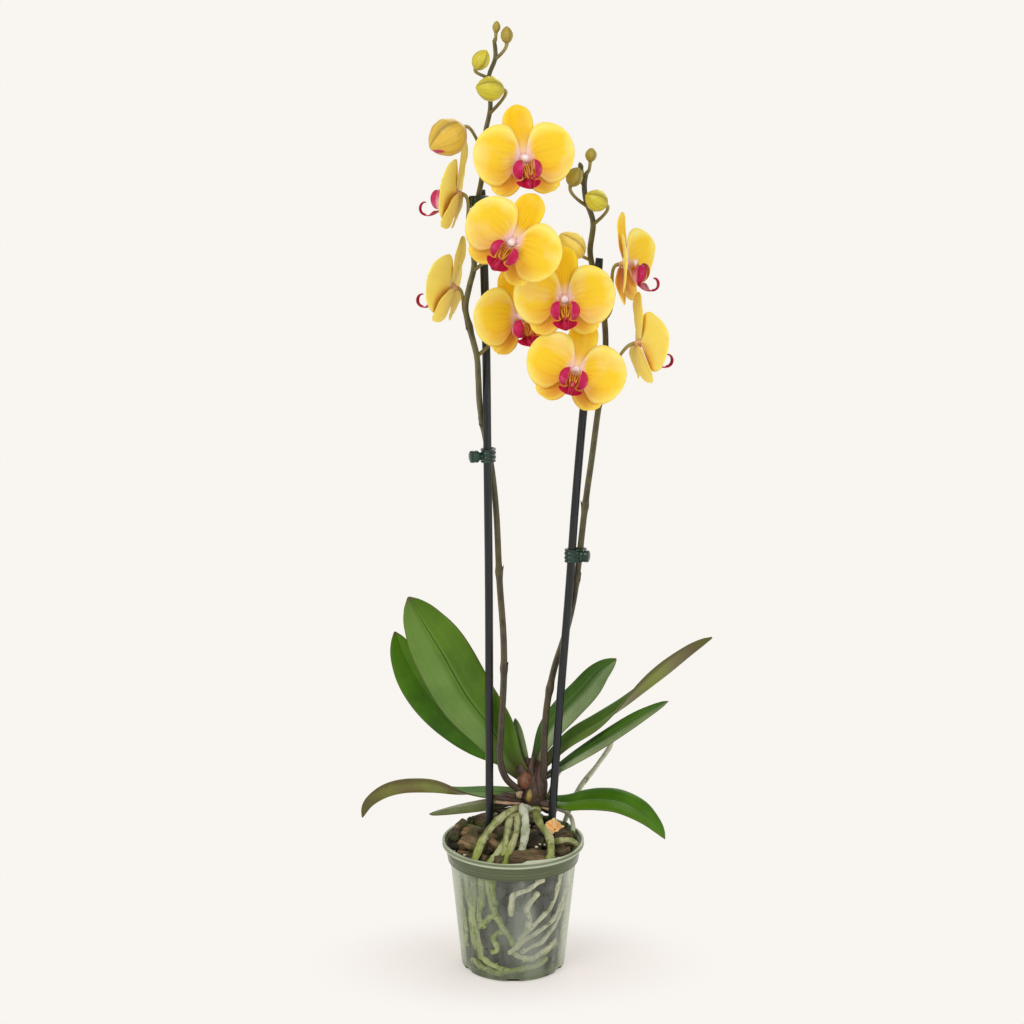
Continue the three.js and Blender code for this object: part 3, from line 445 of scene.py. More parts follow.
def rounded_ends(radius, count, ends=(True, True), share=0.06):
    """A tube's radii, drawn in to a dome at its ends."""
    t = np.linspace(0, 1, count)
    size = np.ones(count)
    for wanted, distance in zip(ends, (t, 1 - t)):
        if wanted:
            size *= np.sqrt(1 - np.clip(1 - distance / share, 0, 0.98) ** 2)
    return np.broadcast_to(radius, count) * size


def rod(points, count, sizes, sides, shape=None, ends=(True, True), share=0.06):
    """A tube with domed ends along a smooth line, its radii read off a table."""
    radius = steps(sizes, np.linspace(0, 1, count))
    return tube(spline(points, count), rounded_ends(radius, count, ends, share), sides, shape)


def wavy(*waves):
    """A tube's shape from waves: each one's size, how often it runs along and around, and its phase."""
    def shape(t, angle):
        return 1 + sum(size * np.sin(a * t + b * angle + phase) for size, a, b, phase in waves)
    return shape


def turned_body(profile, sides):
    """A closed body of revolution from (radius, height) points that start and end on the axis."""
    inner = profile[1:-1]
    angles = np.arange(sides) * 2 * math.pi / sides
    points = [polar(r, a, z) for r, z in inner for a in angles]
    marks = [[i / len(inner), a / math.pi - 1, 1] for i in range(len(inner)) for a in angles]
    points += [[0, 0, profile[0][1]], [0, 0, profile[-1][1]]]
    marks += [[0, 0, 1], [1, 0, 1]]
    return np.array(points), capped_faces(len(inner), sides), np.array(marks)


# ---- finishes ----


def srgb(r, g, b):
    """A colour on a screen, 0 to 255, as linear light."""
    return tuple(
        c / 12.92 if c <= 0.04045 else ((c + 0.055) / 1.055) ** 2.4 for c in (r / 255, g / 255, b / 255)
    ) + (1.0,)


class Finish:
    """A procedural material: a base colour, the colours painted over it, and short names for its nodes.

    Colours are screen values, (r, g, b) from 0 to 255.
    """

    def __init__(self, name, roughness, base, **sockets):
        self.material = bpy.data.materials.new(name)
        self.material.use_nodes = True
        self.tree = self.material.node_tree
        self.shader = self.tree.nodes["Principled BSDF"]
        self.base = base
        for socket, value in {"Roughness": roughness, **sockets}.items():
            self.shader.inputs[socket.replace("_", " ")].default_value = value

    def put(self, socket, value):
        """Links a value to a socket, or sets it there."""
        if isinstance(value, bpy.types.NodeSocket):
            self.tree.links.new(value, socket)
        else:
            socket.default_value = value

    def node(self, kind, inputs=None, **settings):
        node = self.tree.nodes.new(kind)
        for setting, value in settings.items():
            setattr(node, setting, value)
        for socket, value in (inputs or {}).items():
            self.put(node.inputs[socket], value)
        return node

    def split(self, vector):
        parts = self.node("ShaderNodeSeparateXYZ", {"Vector": vector}).outputs
        return parts["X"], parts["Y"], parts["Z"]

    def mark(self):
        """The surface's own coordinates: along, across and side."""
        return self.split(self.node("ShaderNodeAttribute", attribute_name="mark").outputs["Vector"])

    def place(self):
        return self.node("ShaderNodeTexCoord").outputs["Object"]

    def vector(self, x, y, z):
        return self.node("ShaderNodeCombineXYZ", {"X": x, "Y": y, "Z": z}).outputs["Vector"]

    def vector_math(self, operation, a, b):
        return self.node("ShaderNodeVectorMath", {0: a, 1: b}, operation=operation).outputs["Vector"]

    def length(self, vector):
        return self.node("ShaderNodeVectorMath", {0: vector}, operation="LENGTH").outputs["Value"]

    def math(self, operation, a, b=0.0, clamp=False):
        return self.node("ShaderNodeMath", {0: a, 1: b}, operation=operation, use_clamp=clamp).outputs[0]

    def times(self, a, b):
        return self.math("MULTIPLY", a, b)

    def plus(self, a, b, clamp=False):
        return self.math("ADD", a, b, clamp)

    def most(self, a, b):
        return self.math("MAXIMUM", a, b)

    def width(self, a):
        """How far across a value is, to either side."""
        return self.math("ABSOLUTE", a)

    def fit(self, value, low, high, to_low=0.0, to_high=1.0):
        """Takes a value between low and high, in either order, to the other two along a soft curve."""
        names = {"Value": value, "From Min": low, "From Max": high, "To Min": to_low, "To Max": to_high}
        return self.node("ShaderNodeMapRange", names, interpolation_type="SMOOTHSTEP").outputs["Result"]

    def noise(self, vector, scale, detail=3.0, distortion=0.0):
        names = {"Vector": vector, "Scale": scale, "Detail": detail, "Distortion": distortion}
        return self.node("ShaderNodeTexNoise", names).outputs["Fac"]

    def cells(self, scale):
        names = {"Vector": self.place(), "Scale": scale}
        return self.node("ShaderNodeTexVoronoi", names, feature="F1").outputs["Distance"]

    def bands(self, value, scale, distortion=0.0):
        names = {"Vector": self.vector(value, 0.0, 0.0), "Scale": scale, "Distortion": distortion}
        return self.node("ShaderNodeTexWave", names).outputs["Fac"]

    def veins(self, fine, seed, along=None, across=None):
        """Streaks that run from a blade's foot to its tip."""
        u, v, _ = self.mark()
        u, v = u if along is None else along, v if across is None else across
        return self.noise(self.vector(self.times(v, fine), self.times(u, 0.9), seed), 1.0, 4.0, 0.3)

    def ramp(self, value, stops):
        node = self.node("ShaderNodeValToRGB", {"Fac": value})
        bar = node.color_ramp
        while len(bar.elements) < len(stops):
            bar.elements.new(0.5)
        for element, (position, colour) in zip(bar.elements, stops):
            element.position, element.color = position, srgb(*colour)
        return node.outputs["Color"]

    def mix(self, share, a, b):
        node = self.node("ShaderNodeMix", data_type="RGBA")
        for socket, value in ((0, share), (6, self.light(a)), (7, self.light(b))):
            self.put(node.inputs[socket], value)
        return node.outputs[2]

    def light(self, colour):
        return srgb(*colour) if isinstance(colour, tuple) else colour

    def paint(self, colour, share, low=None, high=None, most=1.0):
        """Lays a colour over the rest by a share, or as far as a value has come from low to high."""
        share = share if low is None else self.fit(share, low, high, 0.0, most)
        self.base = self.mix(share, self.base, colour)

    def rough(self, value, low, high, to_low, to_high):
        self.put(self.shader.inputs["Roughness"], self.fit(value, low, high, to_low, to_high))

    def cover(self, share, under, over):
        """Shows one shader through another."""
        blend = self.node("ShaderNodeMixShader", {0: share, 1: under.outputs[0], 2: over.outputs[0]})
        self.put(self.tree.nodes["Material Output"].inputs["Surface"], blend.outputs[0])

    def done(self, height=None, strength=0.0, distance=0.0):
        """The material, with its colour and its bumps."""
        if height is not None:
            names = {"Height": height, "Strength": strength, "Distance": distance}
            self.put(self.shader.inputs["Normal"], self.node("ShaderNodeBump", names).outputs["Normal"])
        self.put(self.shader.inputs["Base Color"], self.light(self.base))
        return self.material


def tepal_finish(name, middle, edge, foot, flush_and_shade, flush_and_shade_reach, vein, lines, whole_width=False):
    """A tepal: a paler rim, veins, an orange flush near its foot that is partly its own colour and partly
    painted shade near the lip, fine lines near its foot, and a back painted paler as painted light shining
    through it.
    """
    f = Finish(
        name, 0.6, middle, Subsurface_Weight=0.08, Subsurface_Scale=0.003,
        Subsurface_Radius=(1.0, 0.7, 0.2), Specular_IOR_Level=0.25,
    )
    along, across, side = f.mark()
    width = f.width(across)
    veins, fine = f.veins(11.0, 2.0), f.veins(38.0, 5.0)
    cloud = f.noise(f.place(), 45.0)
    rim = f.most(f.fit(width, 0.4, 0.95), f.fit(along, 0.55, 0.95))
    f.paint(edge, f.plus(rim, f.fit(cloud, 0.35, 0.7, -0.2, 0.2), True))
    f.paint(vein, f.times(f.fit(veins, 0.42, 0.6, 0.0, 0.6), f.fit(along, 0.05, 0.8, 0.7, 0.2)))
    f.paint(vein, fine, 0.5, 0.62, 0.12)
    # The flush is partly the tepal's own orange and partly painted shade near the lip.
    low = f.fit(width, 0.4, 1.0, 1.0, 0.6) if whole_width else f.fit(across, 0.45, -0.85)
    near = f.times(low, f.fit(along, flush_and_shade_reach, 0.1))
    f.paint(flush_and_shade, f.times(near, f.fit(veins, 0.36, 0.56, 0.4, 1.0)))
    f.paint(lines, f.times(f.fit(fine, 0.54, 0.6), f.fit(along, 0.8 * flush_and_shade_reach, 0.12, 0.0, 0.7)))
    f.paint(foot, f.plus(f.fit(along, 0.32, 0.03), f.fit(cloud, 0.3, 0.7, -0.12, 0.12), True))
    # Painted light: the back is painted paler, as if light shone through the thin tepal.
    back = f.mix(0.7, f.base, (253, 232, 112))
    f.base = f.mix(f.fit(side, -0.2, 0.2), back, f.base)
    return f.done(f.plus(veins, f.times(fine, 0.6)), 0.25, 0.0005)


def lip_finish():
    """The side lobes: crimson outside and striped inside."""
    f = Finish(
        "lip_velvet", 0.5, (204, 0, 84), Subsurface_Weight=0.03, Subsurface_Scale=0.002,
        Specular_IOR_Level=0.3,
    )
    along, across, side = f.mark()
    veins = f.veins(16.0, 8.0)
    cloud = f.noise(f.place(), 160.0, 2.0)
    f.paint((150, 0, 42), veins, 0.4, 0.62)
    f.paint((204, 24, 104), cloud, 0.5, 0.7, 0.5)
    f.paint((214, 60, 130), f.width(across), 0.88, 1.0, 0.4)
    behind = f.plus(f.fit(across, 0.15, 0.6), f.fit(cloud, 0.3, 0.7, -0.12, 0.12), True)
    f.paint((236, 176, 200), f.times(behind, f.fit(along, 0.75, 0.4, 0.25, 0.9)))
    stripe = f.mix(f.fit(veins, 0.44, 0.56), (246, 176, 44), (172, 56, 26))
    stripe = f.mix(f.fit(along, 0.45, 0.95), stripe, (206, 120, 170))
    f.paint(stripe, side, 0.2, -0.2)
    return f.done(veins, 0.4, 0.0005)


def crescent_finish():
    """The middle lobe: crimson, with a paler line along its middle."""
    f = Finish("lip_crescent", 0.5, (200, 2, 70), Specular_IOR_Level=0.3)
    along, across, _ = f.mark()
    veins = f.veins(12.0, 3.0)
    f.paint((152, 0, 38), veins, 0.38, 0.62)
    f.paint((222, 86, 140), f.width(across), 0.14, 0.0, 0.6)
    f.paint((206, 104, 30), along, 0.3, 0.12, 0.9)
    return f.done(veins, 0.4, 0.0005)


def callus_finish():
    """The crest: orange, striped and spotted red, and pale at its foot."""
    f = Finish("lip_callus", 0.4, (243, 176, 48), Subsurface_Weight=0.1, Subsurface_Scale=0.002)
    along, across, _ = f.mark()
    spots = f.cells(900.0)
    f.paint((168, 58, 22), f.bands(across, 1.6, 2.0), 0.35, 0.8)
    f.paint((140, 24, 20), spots, 0.4, 0.15, 0.7)
    f.paint((246, 214, 210), along, 0.2, 0.0)
    return f.done(spots, 0.5, 0.0004)


def column_finish():
    f = Finish("column_wax", 0.5, (238, 190, 206), Subsurface_Weight=0.15, Subsurface_Scale=0.003)
    cloud = f.noise(f.place(), 260.0, 2.0)
    f.paint((250, 238, 236), f.mark()[0], 0.1, 0.8)
    f.paint((226, 160, 190), cloud, 0.45, 0.7, 0.5)
    return f.done(cloud, 0.3, 0.0003)


# Where the largest bud has split open, and the half lengths of the split, in millimetres.
BUD_SPLIT = ([-58, 0, 676.5], [7, 60, 1.8])


def bud_finish(name, light, dark, split=None):
    """A bud: veined, darker at its foot and along its seams, and magenta where it has split."""
    f = Finish(name, 0.42, light, Subsurface_Weight=0.08, Subsurface_Scale=0.003)
    along, across, _ = f.mark()
    veins = f.veins(5.0, 3.0, along, f.times(across, 3.0))
    f.paint(dark, veins, 0.35, 0.65, 0.5)
    f.paint(dark, along, 0.3, 0.0, 0.6)
    f.paint((120, 92, 34), f.bands(across, 0.48), 0.93, 1.0, 0.5)
    if split:
        centre, size = ([c * MM for c in values] for values in split)
        away = f.vector_math("DIVIDE", f.vector_math("SUBTRACT", f.place(), centre), size)
        f.paint((190, 40, 80), f.length(away), 1.1, 0.7)
    return f.done(veins, 0.35, 0.0006)


def leaf_finish(name, light, dark, under, sheen, sheen_side):
    """A leaf: a grooved midrib with painted shade in it and painted highlights beside it, parallel veins, a
    half made paler by painted sheen, and a dull brown underside.
    """
    f = Finish(name, 0.38, dark, Specular_IOR_Level=0.2)
    along, across, side = f.mark()
    width = f.width(across)
    veins, sheen_streaks = f.veins(30.0, 4.0), f.veins(7.0, 9.0)
    cloud = f.noise(f.place(), 24.0, 4.0)
    f.paint(light, cloud, 0.3, 0.7)
    # Painted sheen: one half of the leaf, and broad streaks over it, are painted paler as by light glancing
    # off it.
    sheen_patches = f.times(f.fit(f.times(across, sheen_side), 0.02, 0.3), f.fit(cloud, 0.25, 0.7, 0.55, 1.0))
    f.paint(sheen, f.times(sheen_patches, f.fit(along, 0.98, 0.3, 0.45, 1.0)))
    f.paint(sheen, sheen_streaks, 0.45, 0.65, 0.1)
    f.paint(dark, veins, 0.5, 0.62, 0.16)
    # Painted shade in the midrib's groove, and a painted highlight along each side of it.
    f.paint((30, 58, 16), width, 0.035, 0.0, 0.85)
    f.paint(sheen, f.times(f.fit(width, 0.035, 0.06), f.fit(width, 0.12, 0.06, 0.0, 0.4)))
    f.paint((92, 72, 48), f.times(f.most(f.fit(width, 0.95, 1.0), f.fit(along, 0.965, 1.0)), 0.75))
    f.paint((78, 60, 40), along, 0.2, 0.02, 0.7)
    upper, f.base = f.base, under
    f.paint((118, 130, 52), f.noise(f.place(), 38.0, 4.0), 0.36, 0.58)
    f.paint((136, 136, 82), veins, 0.44, 0.6, 0.5)
    margin = f.most(f.fit(width, 0.55, 0.95), f.fit(along, 0.7, 0.95))
    f.paint((78, 64, 42), f.times(margin, 0.7))
    f.paint(upper, side, -0.1, 0.1)
    f.rough(cloud, 0.3, 0.7, 0.3, 0.42)
    grain = f.times(f.noise(f.place(), 600.0, 2.0), 0.25)
    return f.done(f.plus(veins, grain), 0.22, 0.0006)


def stem_finish():
    """The spikes: purple-brown below and olive above, with pale streaks of painted highlight and dark
    streaks of painted shade along them. Marked 2, it is a stalk.
    """
    f = Finish("stem_skin", 0.45, None)
    along, _, kind = f.mark()
    height = f.split(f.place())[2]
    cloud = f.noise(f.place(), 90.0, 4.0)
    shade = f.fit(cloud, 0.35, 0.65)
    f.base = f.mix(shade, (74, 62, 36), (44, 34, 22))
    f.paint(f.mix(shade, (90, 86, 42), (60, 54, 28)), height, 0.16, 0.62)
    lines = f.veins(5.0, 3.0, f.times(along, 0.2))
    # Painted highlight: pale streaks along the stem.
    f.paint((132, 126, 84), lines, 0.5, 0.62, 0.5)
    f.paint((48, 34, 26), height, 0.26, 0.15, 0.7)
    # Painted shade: dark streaks along the stem.
    f.paint((36, 28, 18), lines, 0.46, 0.36, 0.5)
    f.paint(f.mix(f.fit(along, 0.15, 0.95), (108, 96, 46), (152, 138, 72)), kind, 1.2, 1.8)
    speckle = f.cells(1500.0)
    f.paint((150, 142, 104), speckle, 0.3, 0.1, 0.3)
    return f.done(f.plus(cloud, f.times(speckle, 0.2)), 0.3, 0.0005)


def sheath_finish(name, light, dark, lined):
    f = Finish(name, 0.5, light)
    veins = f.veins(20.0, 6.0)
    cloud = f.noise(f.place(), 120.0, 5.0, 0.4)
    f.paint(dark, cloud, 0.35, 0.65)
    f.paint(lined, veins, 0.48, 0.64, 0.6)
    f.paint(lined, f.mark()[0], 0.85, 1.0, 0.5)
    return f.done(f.plus(veins, f.times(cloud, 0.8)), 0.5, 0.0008)


def root_finish(name, green, pale, share, tip, pitted=False):
    """A root's skin: pale and green in patches that are partly its own dry and wet colour and partly painted
    highlight and shade, with pale painted highlight streaks and dark painted shade blots, and brightest at
    its far end.
    """
    f = Finish(name, 0.6, pale)
    patch = f.noise(f.place(), 75.0, 5.0, 0.6)
    highlight_fibres = f.veins(9.0, 7.0)
    shade_blots = f.noise(f.place(), 210.0)
    # Green patches over pale: partly the root's own colour, partly painted highlight and shade.
    f.paint(green, patch, 0.44 - share, 0.6 - share)
    f.paint(tip, f.mark()[0], 0.6, 1.0, 0.8)
    # Painted highlight: pale streaks along the root.
    f.paint((206, 210, 176), highlight_fibres, 0.5, 0.66, 0.5)
    # Painted shade: dark olive blots.
    f.paint((92, 98, 44), shade_blots, 0.56, 0.7, 0.7)
    f.paint((70, 62, 36), f.cells(420.0), 0.16, 0.06, 0.8)
    if pitted:
        f.paint((72, 84, 38), f.cells(190.0), 0.22, 0.12, 0.6)
    return f.done(f.plus(highlight_fibres, f.plus(patch, shade_blots)), 0.6, 0.0009)


# Bark, by a chip's kind: dark, brown, pale, then mossy.
BARK = [
    (0.0, (50, 44, 28)), (0.3, (104, 84, 54)), (0.55, (150, 118, 78)), (0.78, (176, 144, 100)),
    (0.86, (98, 108, 42)), (1.0, (68, 84, 28)),
]


def bark_finish():
    f = Finish("bark_chips", 0.85, None)
    along, across, kind = f.mark()
    grain = f.noise(f.vector(f.times(across, 9.0), f.times(along, 1.4), kind), 1.0, 5.0, 0.5)
    cloud = f.noise(f.place(), 75.0, 5.0)
    f.base = f.ramp(kind, BARK)
    f.paint((44, 36, 24), cloud, 0.36, 0.64, 0.6)
    f.paint((34, 27, 18), grain, 0.5, 0.64, 0.55)
    f.paint((72, 84, 28), f.noise(f.place(), 55.0), 0.52, 0.62, 0.75)
    f.paint((196, 178, 142), f.cells(620.0), 0.14, 0.05, 0.8)
    f.rough(grain, 0.35, 0.65, 0.6, 0.95)
    return f.done(f.plus(grain, f.times(cloud, 0.8)), 0.9, 0.0016)


def inner_bark_finish():
    """The bark behind the wall, dulled by the damp that clouds the plastic."""
    f = Finish("bark_behind_wall", 0.9, (66, 66, 62))
    grain = f.noise(f.place(), 240.0, 4.0)
    f.paint((96, 96, 90), f.noise(f.place(), 40.0, 4.0), 0.35, 0.65)
    f.paint((58, 54, 48), grain, 0.45, 0.7, 0.5)
    return f.done(grain, 0.4, 0.001)


def perlite_finish():
    f = Finish("perlite", 0.8, (236, 232, 214))
    speck = f.noise(f.place(), 900.0)
    f.paint((178, 168, 140), speck, 0.35, 0.65)
    return f.done(speck, 0.6, 0.0004)


def pot_finish():
    """Frosted plastic: the wall lets the inside show through, and the thicker collar hardly does. It has
    painted highlights on the lip and at the wall's sides, and a painted shadow behind the slots.
    """
    f = Finish("pot_frosted", 0.3, None)
    x, y, height = f.split(f.place())
    collar, rim = f.fit(height, 0.0915, 0.0935), f.fit(height, 0.104, 0.106)
    foot = f.fit(height, 0.013, 0.004)
    cloud = f.noise(f.place(), 26.0, 4.0)
    haze = f.noise(f.vector(x, y, f.times(height, 0.25)), 60.0)
    lines = f.noise(f.vector(0.0, 0.0, f.times(height, 30.0)), 26.0)
    facing = f.node("ShaderNodeLayerWeight", {"Blend": 0.5}).outputs["Facing"]
    f.base = f.mix(f.fit(haze, 0.35, 0.7), (148, 156, 142), (182, 190, 174))
    # Painted highlight: the wall is painted paler where it is seen edge-on, at its sides.
    f.paint((194, 202, 178), facing, 0.4, 0.72, 0.8)
    f.paint((132, 146, 104), f.times(foot, 0.7))
    # Painted shadow: behind the slots at the foot, the pot's floor is painted dark, where shade falls.
    radius = f.length(f.vector(x, y, 0.0))
    inside = f.fit(radius, (POT["foot"] - 0.5) * MM, (POT["foot"] - 0.9) * MM)
    inside = f.times(inside, f.fit(height, 0.004, 0.0036))
    f.paint((58, 62, 44), inside)
    green = f.mix(f.fit(lines, 0.4, 0.62), (70, 82, 48), (102, 114, 76))
    green = f.mix(f.fit(cloud, 0.4, 0.7, 0.0, 0.5), green, (86, 88, 54))
    green = f.mix(f.fit(height, 0.096, 0.0925, 0.0, 0.7), green, (56, 64, 40))
    f.paint(green, collar)
    f.paint(f.mix(f.fit(cloud, 0.35, 0.65), (116, 130, 94), (142, 152, 120)), rim)
    # Painted highlights: thin bright lines along the lip's top and under its bead.
    under_lip_highlight = f.times(rim, f.fit(height, 0.1072, 0.1064))
    rim_highlight = f.most(f.fit(height, 0.1088, 0.1097), under_lip_highlight)
    f.paint((206, 212, 186), f.times(rim_highlight, 0.8))
    scuffs = f.noise(f.vector(f.times(x, 6.0), 0.0, f.times(height, 60.0)), 8.0, 4.0)
    f.rough(scuffs, 0.35, 0.7, 0.24, 0.4)
    cover = f.plus(f.fit(haze, 0.35, 0.68, 0.04, 0.28), f.times(foot, 0.25))
    damp = f.times(f.fit(x, -0.04, -0.008, 0.07, 0.0), f.fit(height, 0.035, 0.07))
    cover = f.plus(f.plus(cover, damp), f.fit(facing, 0.4, 0.76, 0.0, 0.5), True)
    cover = f.most(cover, f.times(collar, f.fit(cloud, 0.4, 0.7, 0.92, 0.76)))
    # The painted shadow behind the slots is made fully opaque.
    f.cover(f.most(cover, inside), f.node("ShaderNodeBsdfTransparent"), f.shader)
    return f.done(f.plus(scuffs, cloud), 0.12, 0.0005)


def plastic_finish(name, colour, lighter_colour, roughness, scale):
    """Plastic with fine lighter lines along it and lighter patches, which on the stake are painted
    highlights.
    """
    f = Finish(name, roughness, colour)
    x, y, z = f.split(f.place())
    lines = f.noise(f.vector(x, y, f.times(z, 0.04)), scale)
    # Lighter lines and patches; on the stake they are painted highlight streaks.
    f.paint(lighter_colour, lines, 0.4, 0.65)
    f.paint(lighter_colour, f.noise(f.place(), 60.0), 0.55, 0.75, 0.4)
    f.rough(lines, 0.35, 0.65, roughness - 0.08, roughness + 0.08)
    return f.done(lines, 0.25, 0.0004)


def papery_finish():
    """Dry bract: veined straw, and brown in its hollow."""
    f = Finish("dry_paper", 0.75, (255, 222, 162), Subsurface_Weight=0.1, Subsurface_Scale=0.002)
    along, _, side = f.mark()
    veins = f.veins(12.0, 1.0)
    f.paint((242, 184, 112), veins, 0.4, 0.62)
    f.paint((168, 92, 36), f.times(f.fit(side, 0.2, -0.2), f.fit(along, 0.62, 0.1)))
    return f.done(veins, 0.6, 0.001)


# Each finish: how it is made, the material's name and the rest that its function takes.
FINISHES = {
    "petal": (
        tepal_finish, "petal_yellow", (242, 203, 38), (250, 232, 116), (238, 204, 212), (234, 156, 48), 0.75,
        (244, 190, 32), (222, 136, 50),
    ),
    "dorsal": (
        tepal_finish, "dorsal_yellow", (241, 192, 6), (247, 212, 44), (240, 204, 160), (236, 180, 30), 0.7,
        (230, 166, 16), (180, 98, 26),
    ),
    "lateral": (
        tepal_finish, "lateral_yellow", (245, 194, 50), (250, 220, 88), (208, 124, 80), (212, 110, 42), 0.95,
        (226, 146, 40), (156, 62, 28), True,
    ),
    "lip": (lip_finish,),
    "crescent": (crescent_finish,),
    "callus": (callus_finish,),
    "column": (column_finish,),
    "hub": (bud_finish, "hub_pink", (222, 176, 120), (196, 132, 96)),
    "bud": (bud_finish, "bud_green", (208, 194, 50), (164, 154, 32)),
    "bud_large": (bud_finish, "bud_large", (226, 186, 62), (186, 150, 46), BUD_SPLIT),
    "bud_pale": (bud_finish, "bud_pale", (250, 222, 104), (230, 198, 84)),
    "bud_small": (bud_finish, "bud_small", (172, 152, 52), (122, 106, 38)),
    "stem": (stem_finish,),
    "sheath": (sheath_finish, "crown_sheath", (68, 50, 40), (34, 26, 22), (104, 74, 56)),
    "lump": (sheath_finish, "crown_lump", (122, 76, 52), (78, 48, 38), (146, 96, 66)),
    "yellowed": (sheath_finish, "crown_yellowed", (146, 124, 50), (88, 64, 36), (178, 158, 78)),
    "knob": (sheath_finish, "crown_knob", (182, 150, 116), (132, 100, 74), (204, 180, 148)),
    "root": (root_finish, "root_green", (116, 126, 50), (172, 172, 120), 0.0, (138, 156, 26)),
    "root_white": (root_finish, "root_silver", (150, 158, 120), (196, 198, 176), -0.08, (176, 184, 148)),
    "root_inside": (root_finish, "root_inside", (128, 152, 50), (178, 190, 116), 0.02, (146, 166, 62), True),
    "root_pale": (root_finish, "root_pale", (172, 178, 118), (230, 228, 196), -0.04, (206, 204, 160), True),
    "bark": (bark_finish,),
    "inner_bark": (inner_bark_finish,),
    "perlite": (perlite_finish,),
    "pot": (pot_finish,),
    "stake": (plastic_finish, "stake_charcoal", (6, 7, 9), (22, 27, 34), 0.36, 900.0),
    "clip": (plastic_finish, "clip_green", (4, 28, 20), (26, 66, 50), 0.3, 500.0),
    "paper": (papery_finish,),
}

# A leaf's light and dark green, its underside, its painted sheen, and the half that the painted sheen lies
# on.
LEAF_COLOURS = {
    "leaf_sheen": ((66, 106, 20), (38, 74, 10), (106, 98, 54), (154, 172, 122), 1.0),
    "leaf_sheen_left": ((88, 122, 24), (62, 98, 12), (106, 98, 54), (112, 142, 74), -1.0),
    "leaf_bright": ((72, 118, 0), (44, 86, 0), (104, 92, 48), (82, 122, 2), 1.0),
    "leaf_dull": ((72, 104, 22), (46, 76, 14), (120, 112, 84), (100, 126, 50), 1.0),
    "leaf_dry": ((128, 138, 84), (56, 74, 30), (112, 104, 74), (188, 190, 150), -1.0),
}
FINISH = {key: make(*values) for key, (make, *values) in FINISHES.items()}
FINISH.update({name: leaf_finish(name, *colours) for name, colours in LEAF_COLOURS.items()})

# ---- flowers ----


def tepal(outline, degrees, raise_, lift, bend, curl, wave, draw, crease, cup=0):
    """A petal or sepal that points away from the hub at an angle from upright, in the flower's axes."""
    rows, columns = 34, 24
    outs, left, right = spline(outline, rows + 1).T
    reach = outline[-1][0]
    angle = math.radians(degrees)
    phase, turns = FULL_TURN * draw.random(2), 3.2 + draw.random(2)

    def place(u, v):
        row = np.rint(u * rows).astype(int)
        along = outs[row]
        share = along / reach
        across = np.where(v < 0, left[row], right[row]) * v
        curled = curl * share * (across / 22) ** 2
        rim = np.abs(v) ** 3 * np.sin(turns[0] * math.pi * share * np.sign(v) + phase[0])
        ripple = wave * share * (rim + 0.4 * np.sin(turns[1] * v * 2 + phase[1]))
        fold = crease * np.exp(-((v / 0.16) ** 2)) * np.sin(math.pi * np.clip(share, 0, 1) ** 0.8)
        z = raise_ + lift * along + bend * share**3 + cup * share * along - curled + ripple - fold
        x = along * math.sin(angle) + across * math.cos(angle)
        y = along * math.cos(angle) - across * math.sin(angle)
        return np.stack([x, y, z], axis=-1)

    return blade(place, rows, columns, 0.9, 0.25)


def on_side(surface, side):
    """A surface made for side 1, or its mirror image in the flower's middle plane."""
    points, faces, marks = surface
    return surface if side > 0 else (points * [-1, 1, 1], [face[::-1] for face in faces], marks)


def upward_marks(surface):
    """A petal with its marks turned over, so that across grows upwards."""
    points, faces, marks = surface
    return points, faces, marks * [1, -1, 1]


def side_lobe():
    """A side lobe of the lip: a cheek beside the column, hollow towards the middle."""
    def place(u, v):
        lift = np.radians(-62 + 132 * u)
        narrow = 0.7 + 0.3 * np.sin(math.pi * u)
        around = np.radians(66 + 50 * v * narrow)
        x = 2.1 + 9.2 * np.cos(lift) ** 0.8 * np.sin(around)
        y = -8.2 + 7.9 * np.sin(lift)
        z = 8.8 + 7 * np.cos(lift) * np.cos(around) + 3 * u
        return np.stack([x, y, z], axis=-1)
    return blade(place, 20, 18, 0.8)


LIP_PROFILE = [
    [0, -13, 5.5], [0, -15.5, 8], [0, -18.5, 11], [0, -21, 14], [0, -22.3, 17.5], [0, -22, 20.5],
]
LIP_WIDTHS = [
    [0, 2.6], [0.2, 3.4], [0.3, 5.6], [0.37, 8.8], [0.45, 9.8], [0.58, 8.6], [0.7, 6], [0.82, 2.8],
    [1, 1.4],
]


def middle_lobe():
    """The middle lobe: a wide half moon that hangs forward from the throat, its corners swept up."""
    rows = 32
    profile = spline(LIP_PROFILE, rows + 1)
    table = spline(LIP_WIDTHS, 200)

    def place(u, v):
        half = np.interp(u, table[:, 0], table[:, 1])
        swept = 0.016 * (half * v) ** 2
        fold = 0.5 * np.exp(-((v / 0.16) ** 2)) * np.sin(math.pi * u)
        shift = np.stack([half * v, swept + fold, 0.4 * swept], axis=-1)
        return profile[np.rint(u * rows).astype(int)] + shift

    return blade(place, rows, 20, 0.8)


# The lip's whiskers and the crest's horns, on the right.
TENDRIL = [
    [0.5, -22, 19.6], [0.8, -21.6, 21.8], [1.3, -19.8, 24], [1.6, -17, 24.8], [1.5, -14.2, 24.2],
    [1, -12.6, 22.6], [0.7, -12.4, 21],
]
HORN = [[0.9, -13.4, 13.2], [2, -11.6, 14.6], [3.1, -8.8, 14.4], [3.4, -6, 13]]


def tendril(side):
    """One of the two whiskers at the middle lobe's tip, curled up in front of it."""
    path = np.array(TENDRIL) * [side, 1, 1]
    points, faces, marks = rod(path, 26, [[0, 1], [1, 0.55]], 10, ends=(False, True))
    return points, faces, marks * [0.5, 0.3, 1] + [0.4, 0.6, 0]


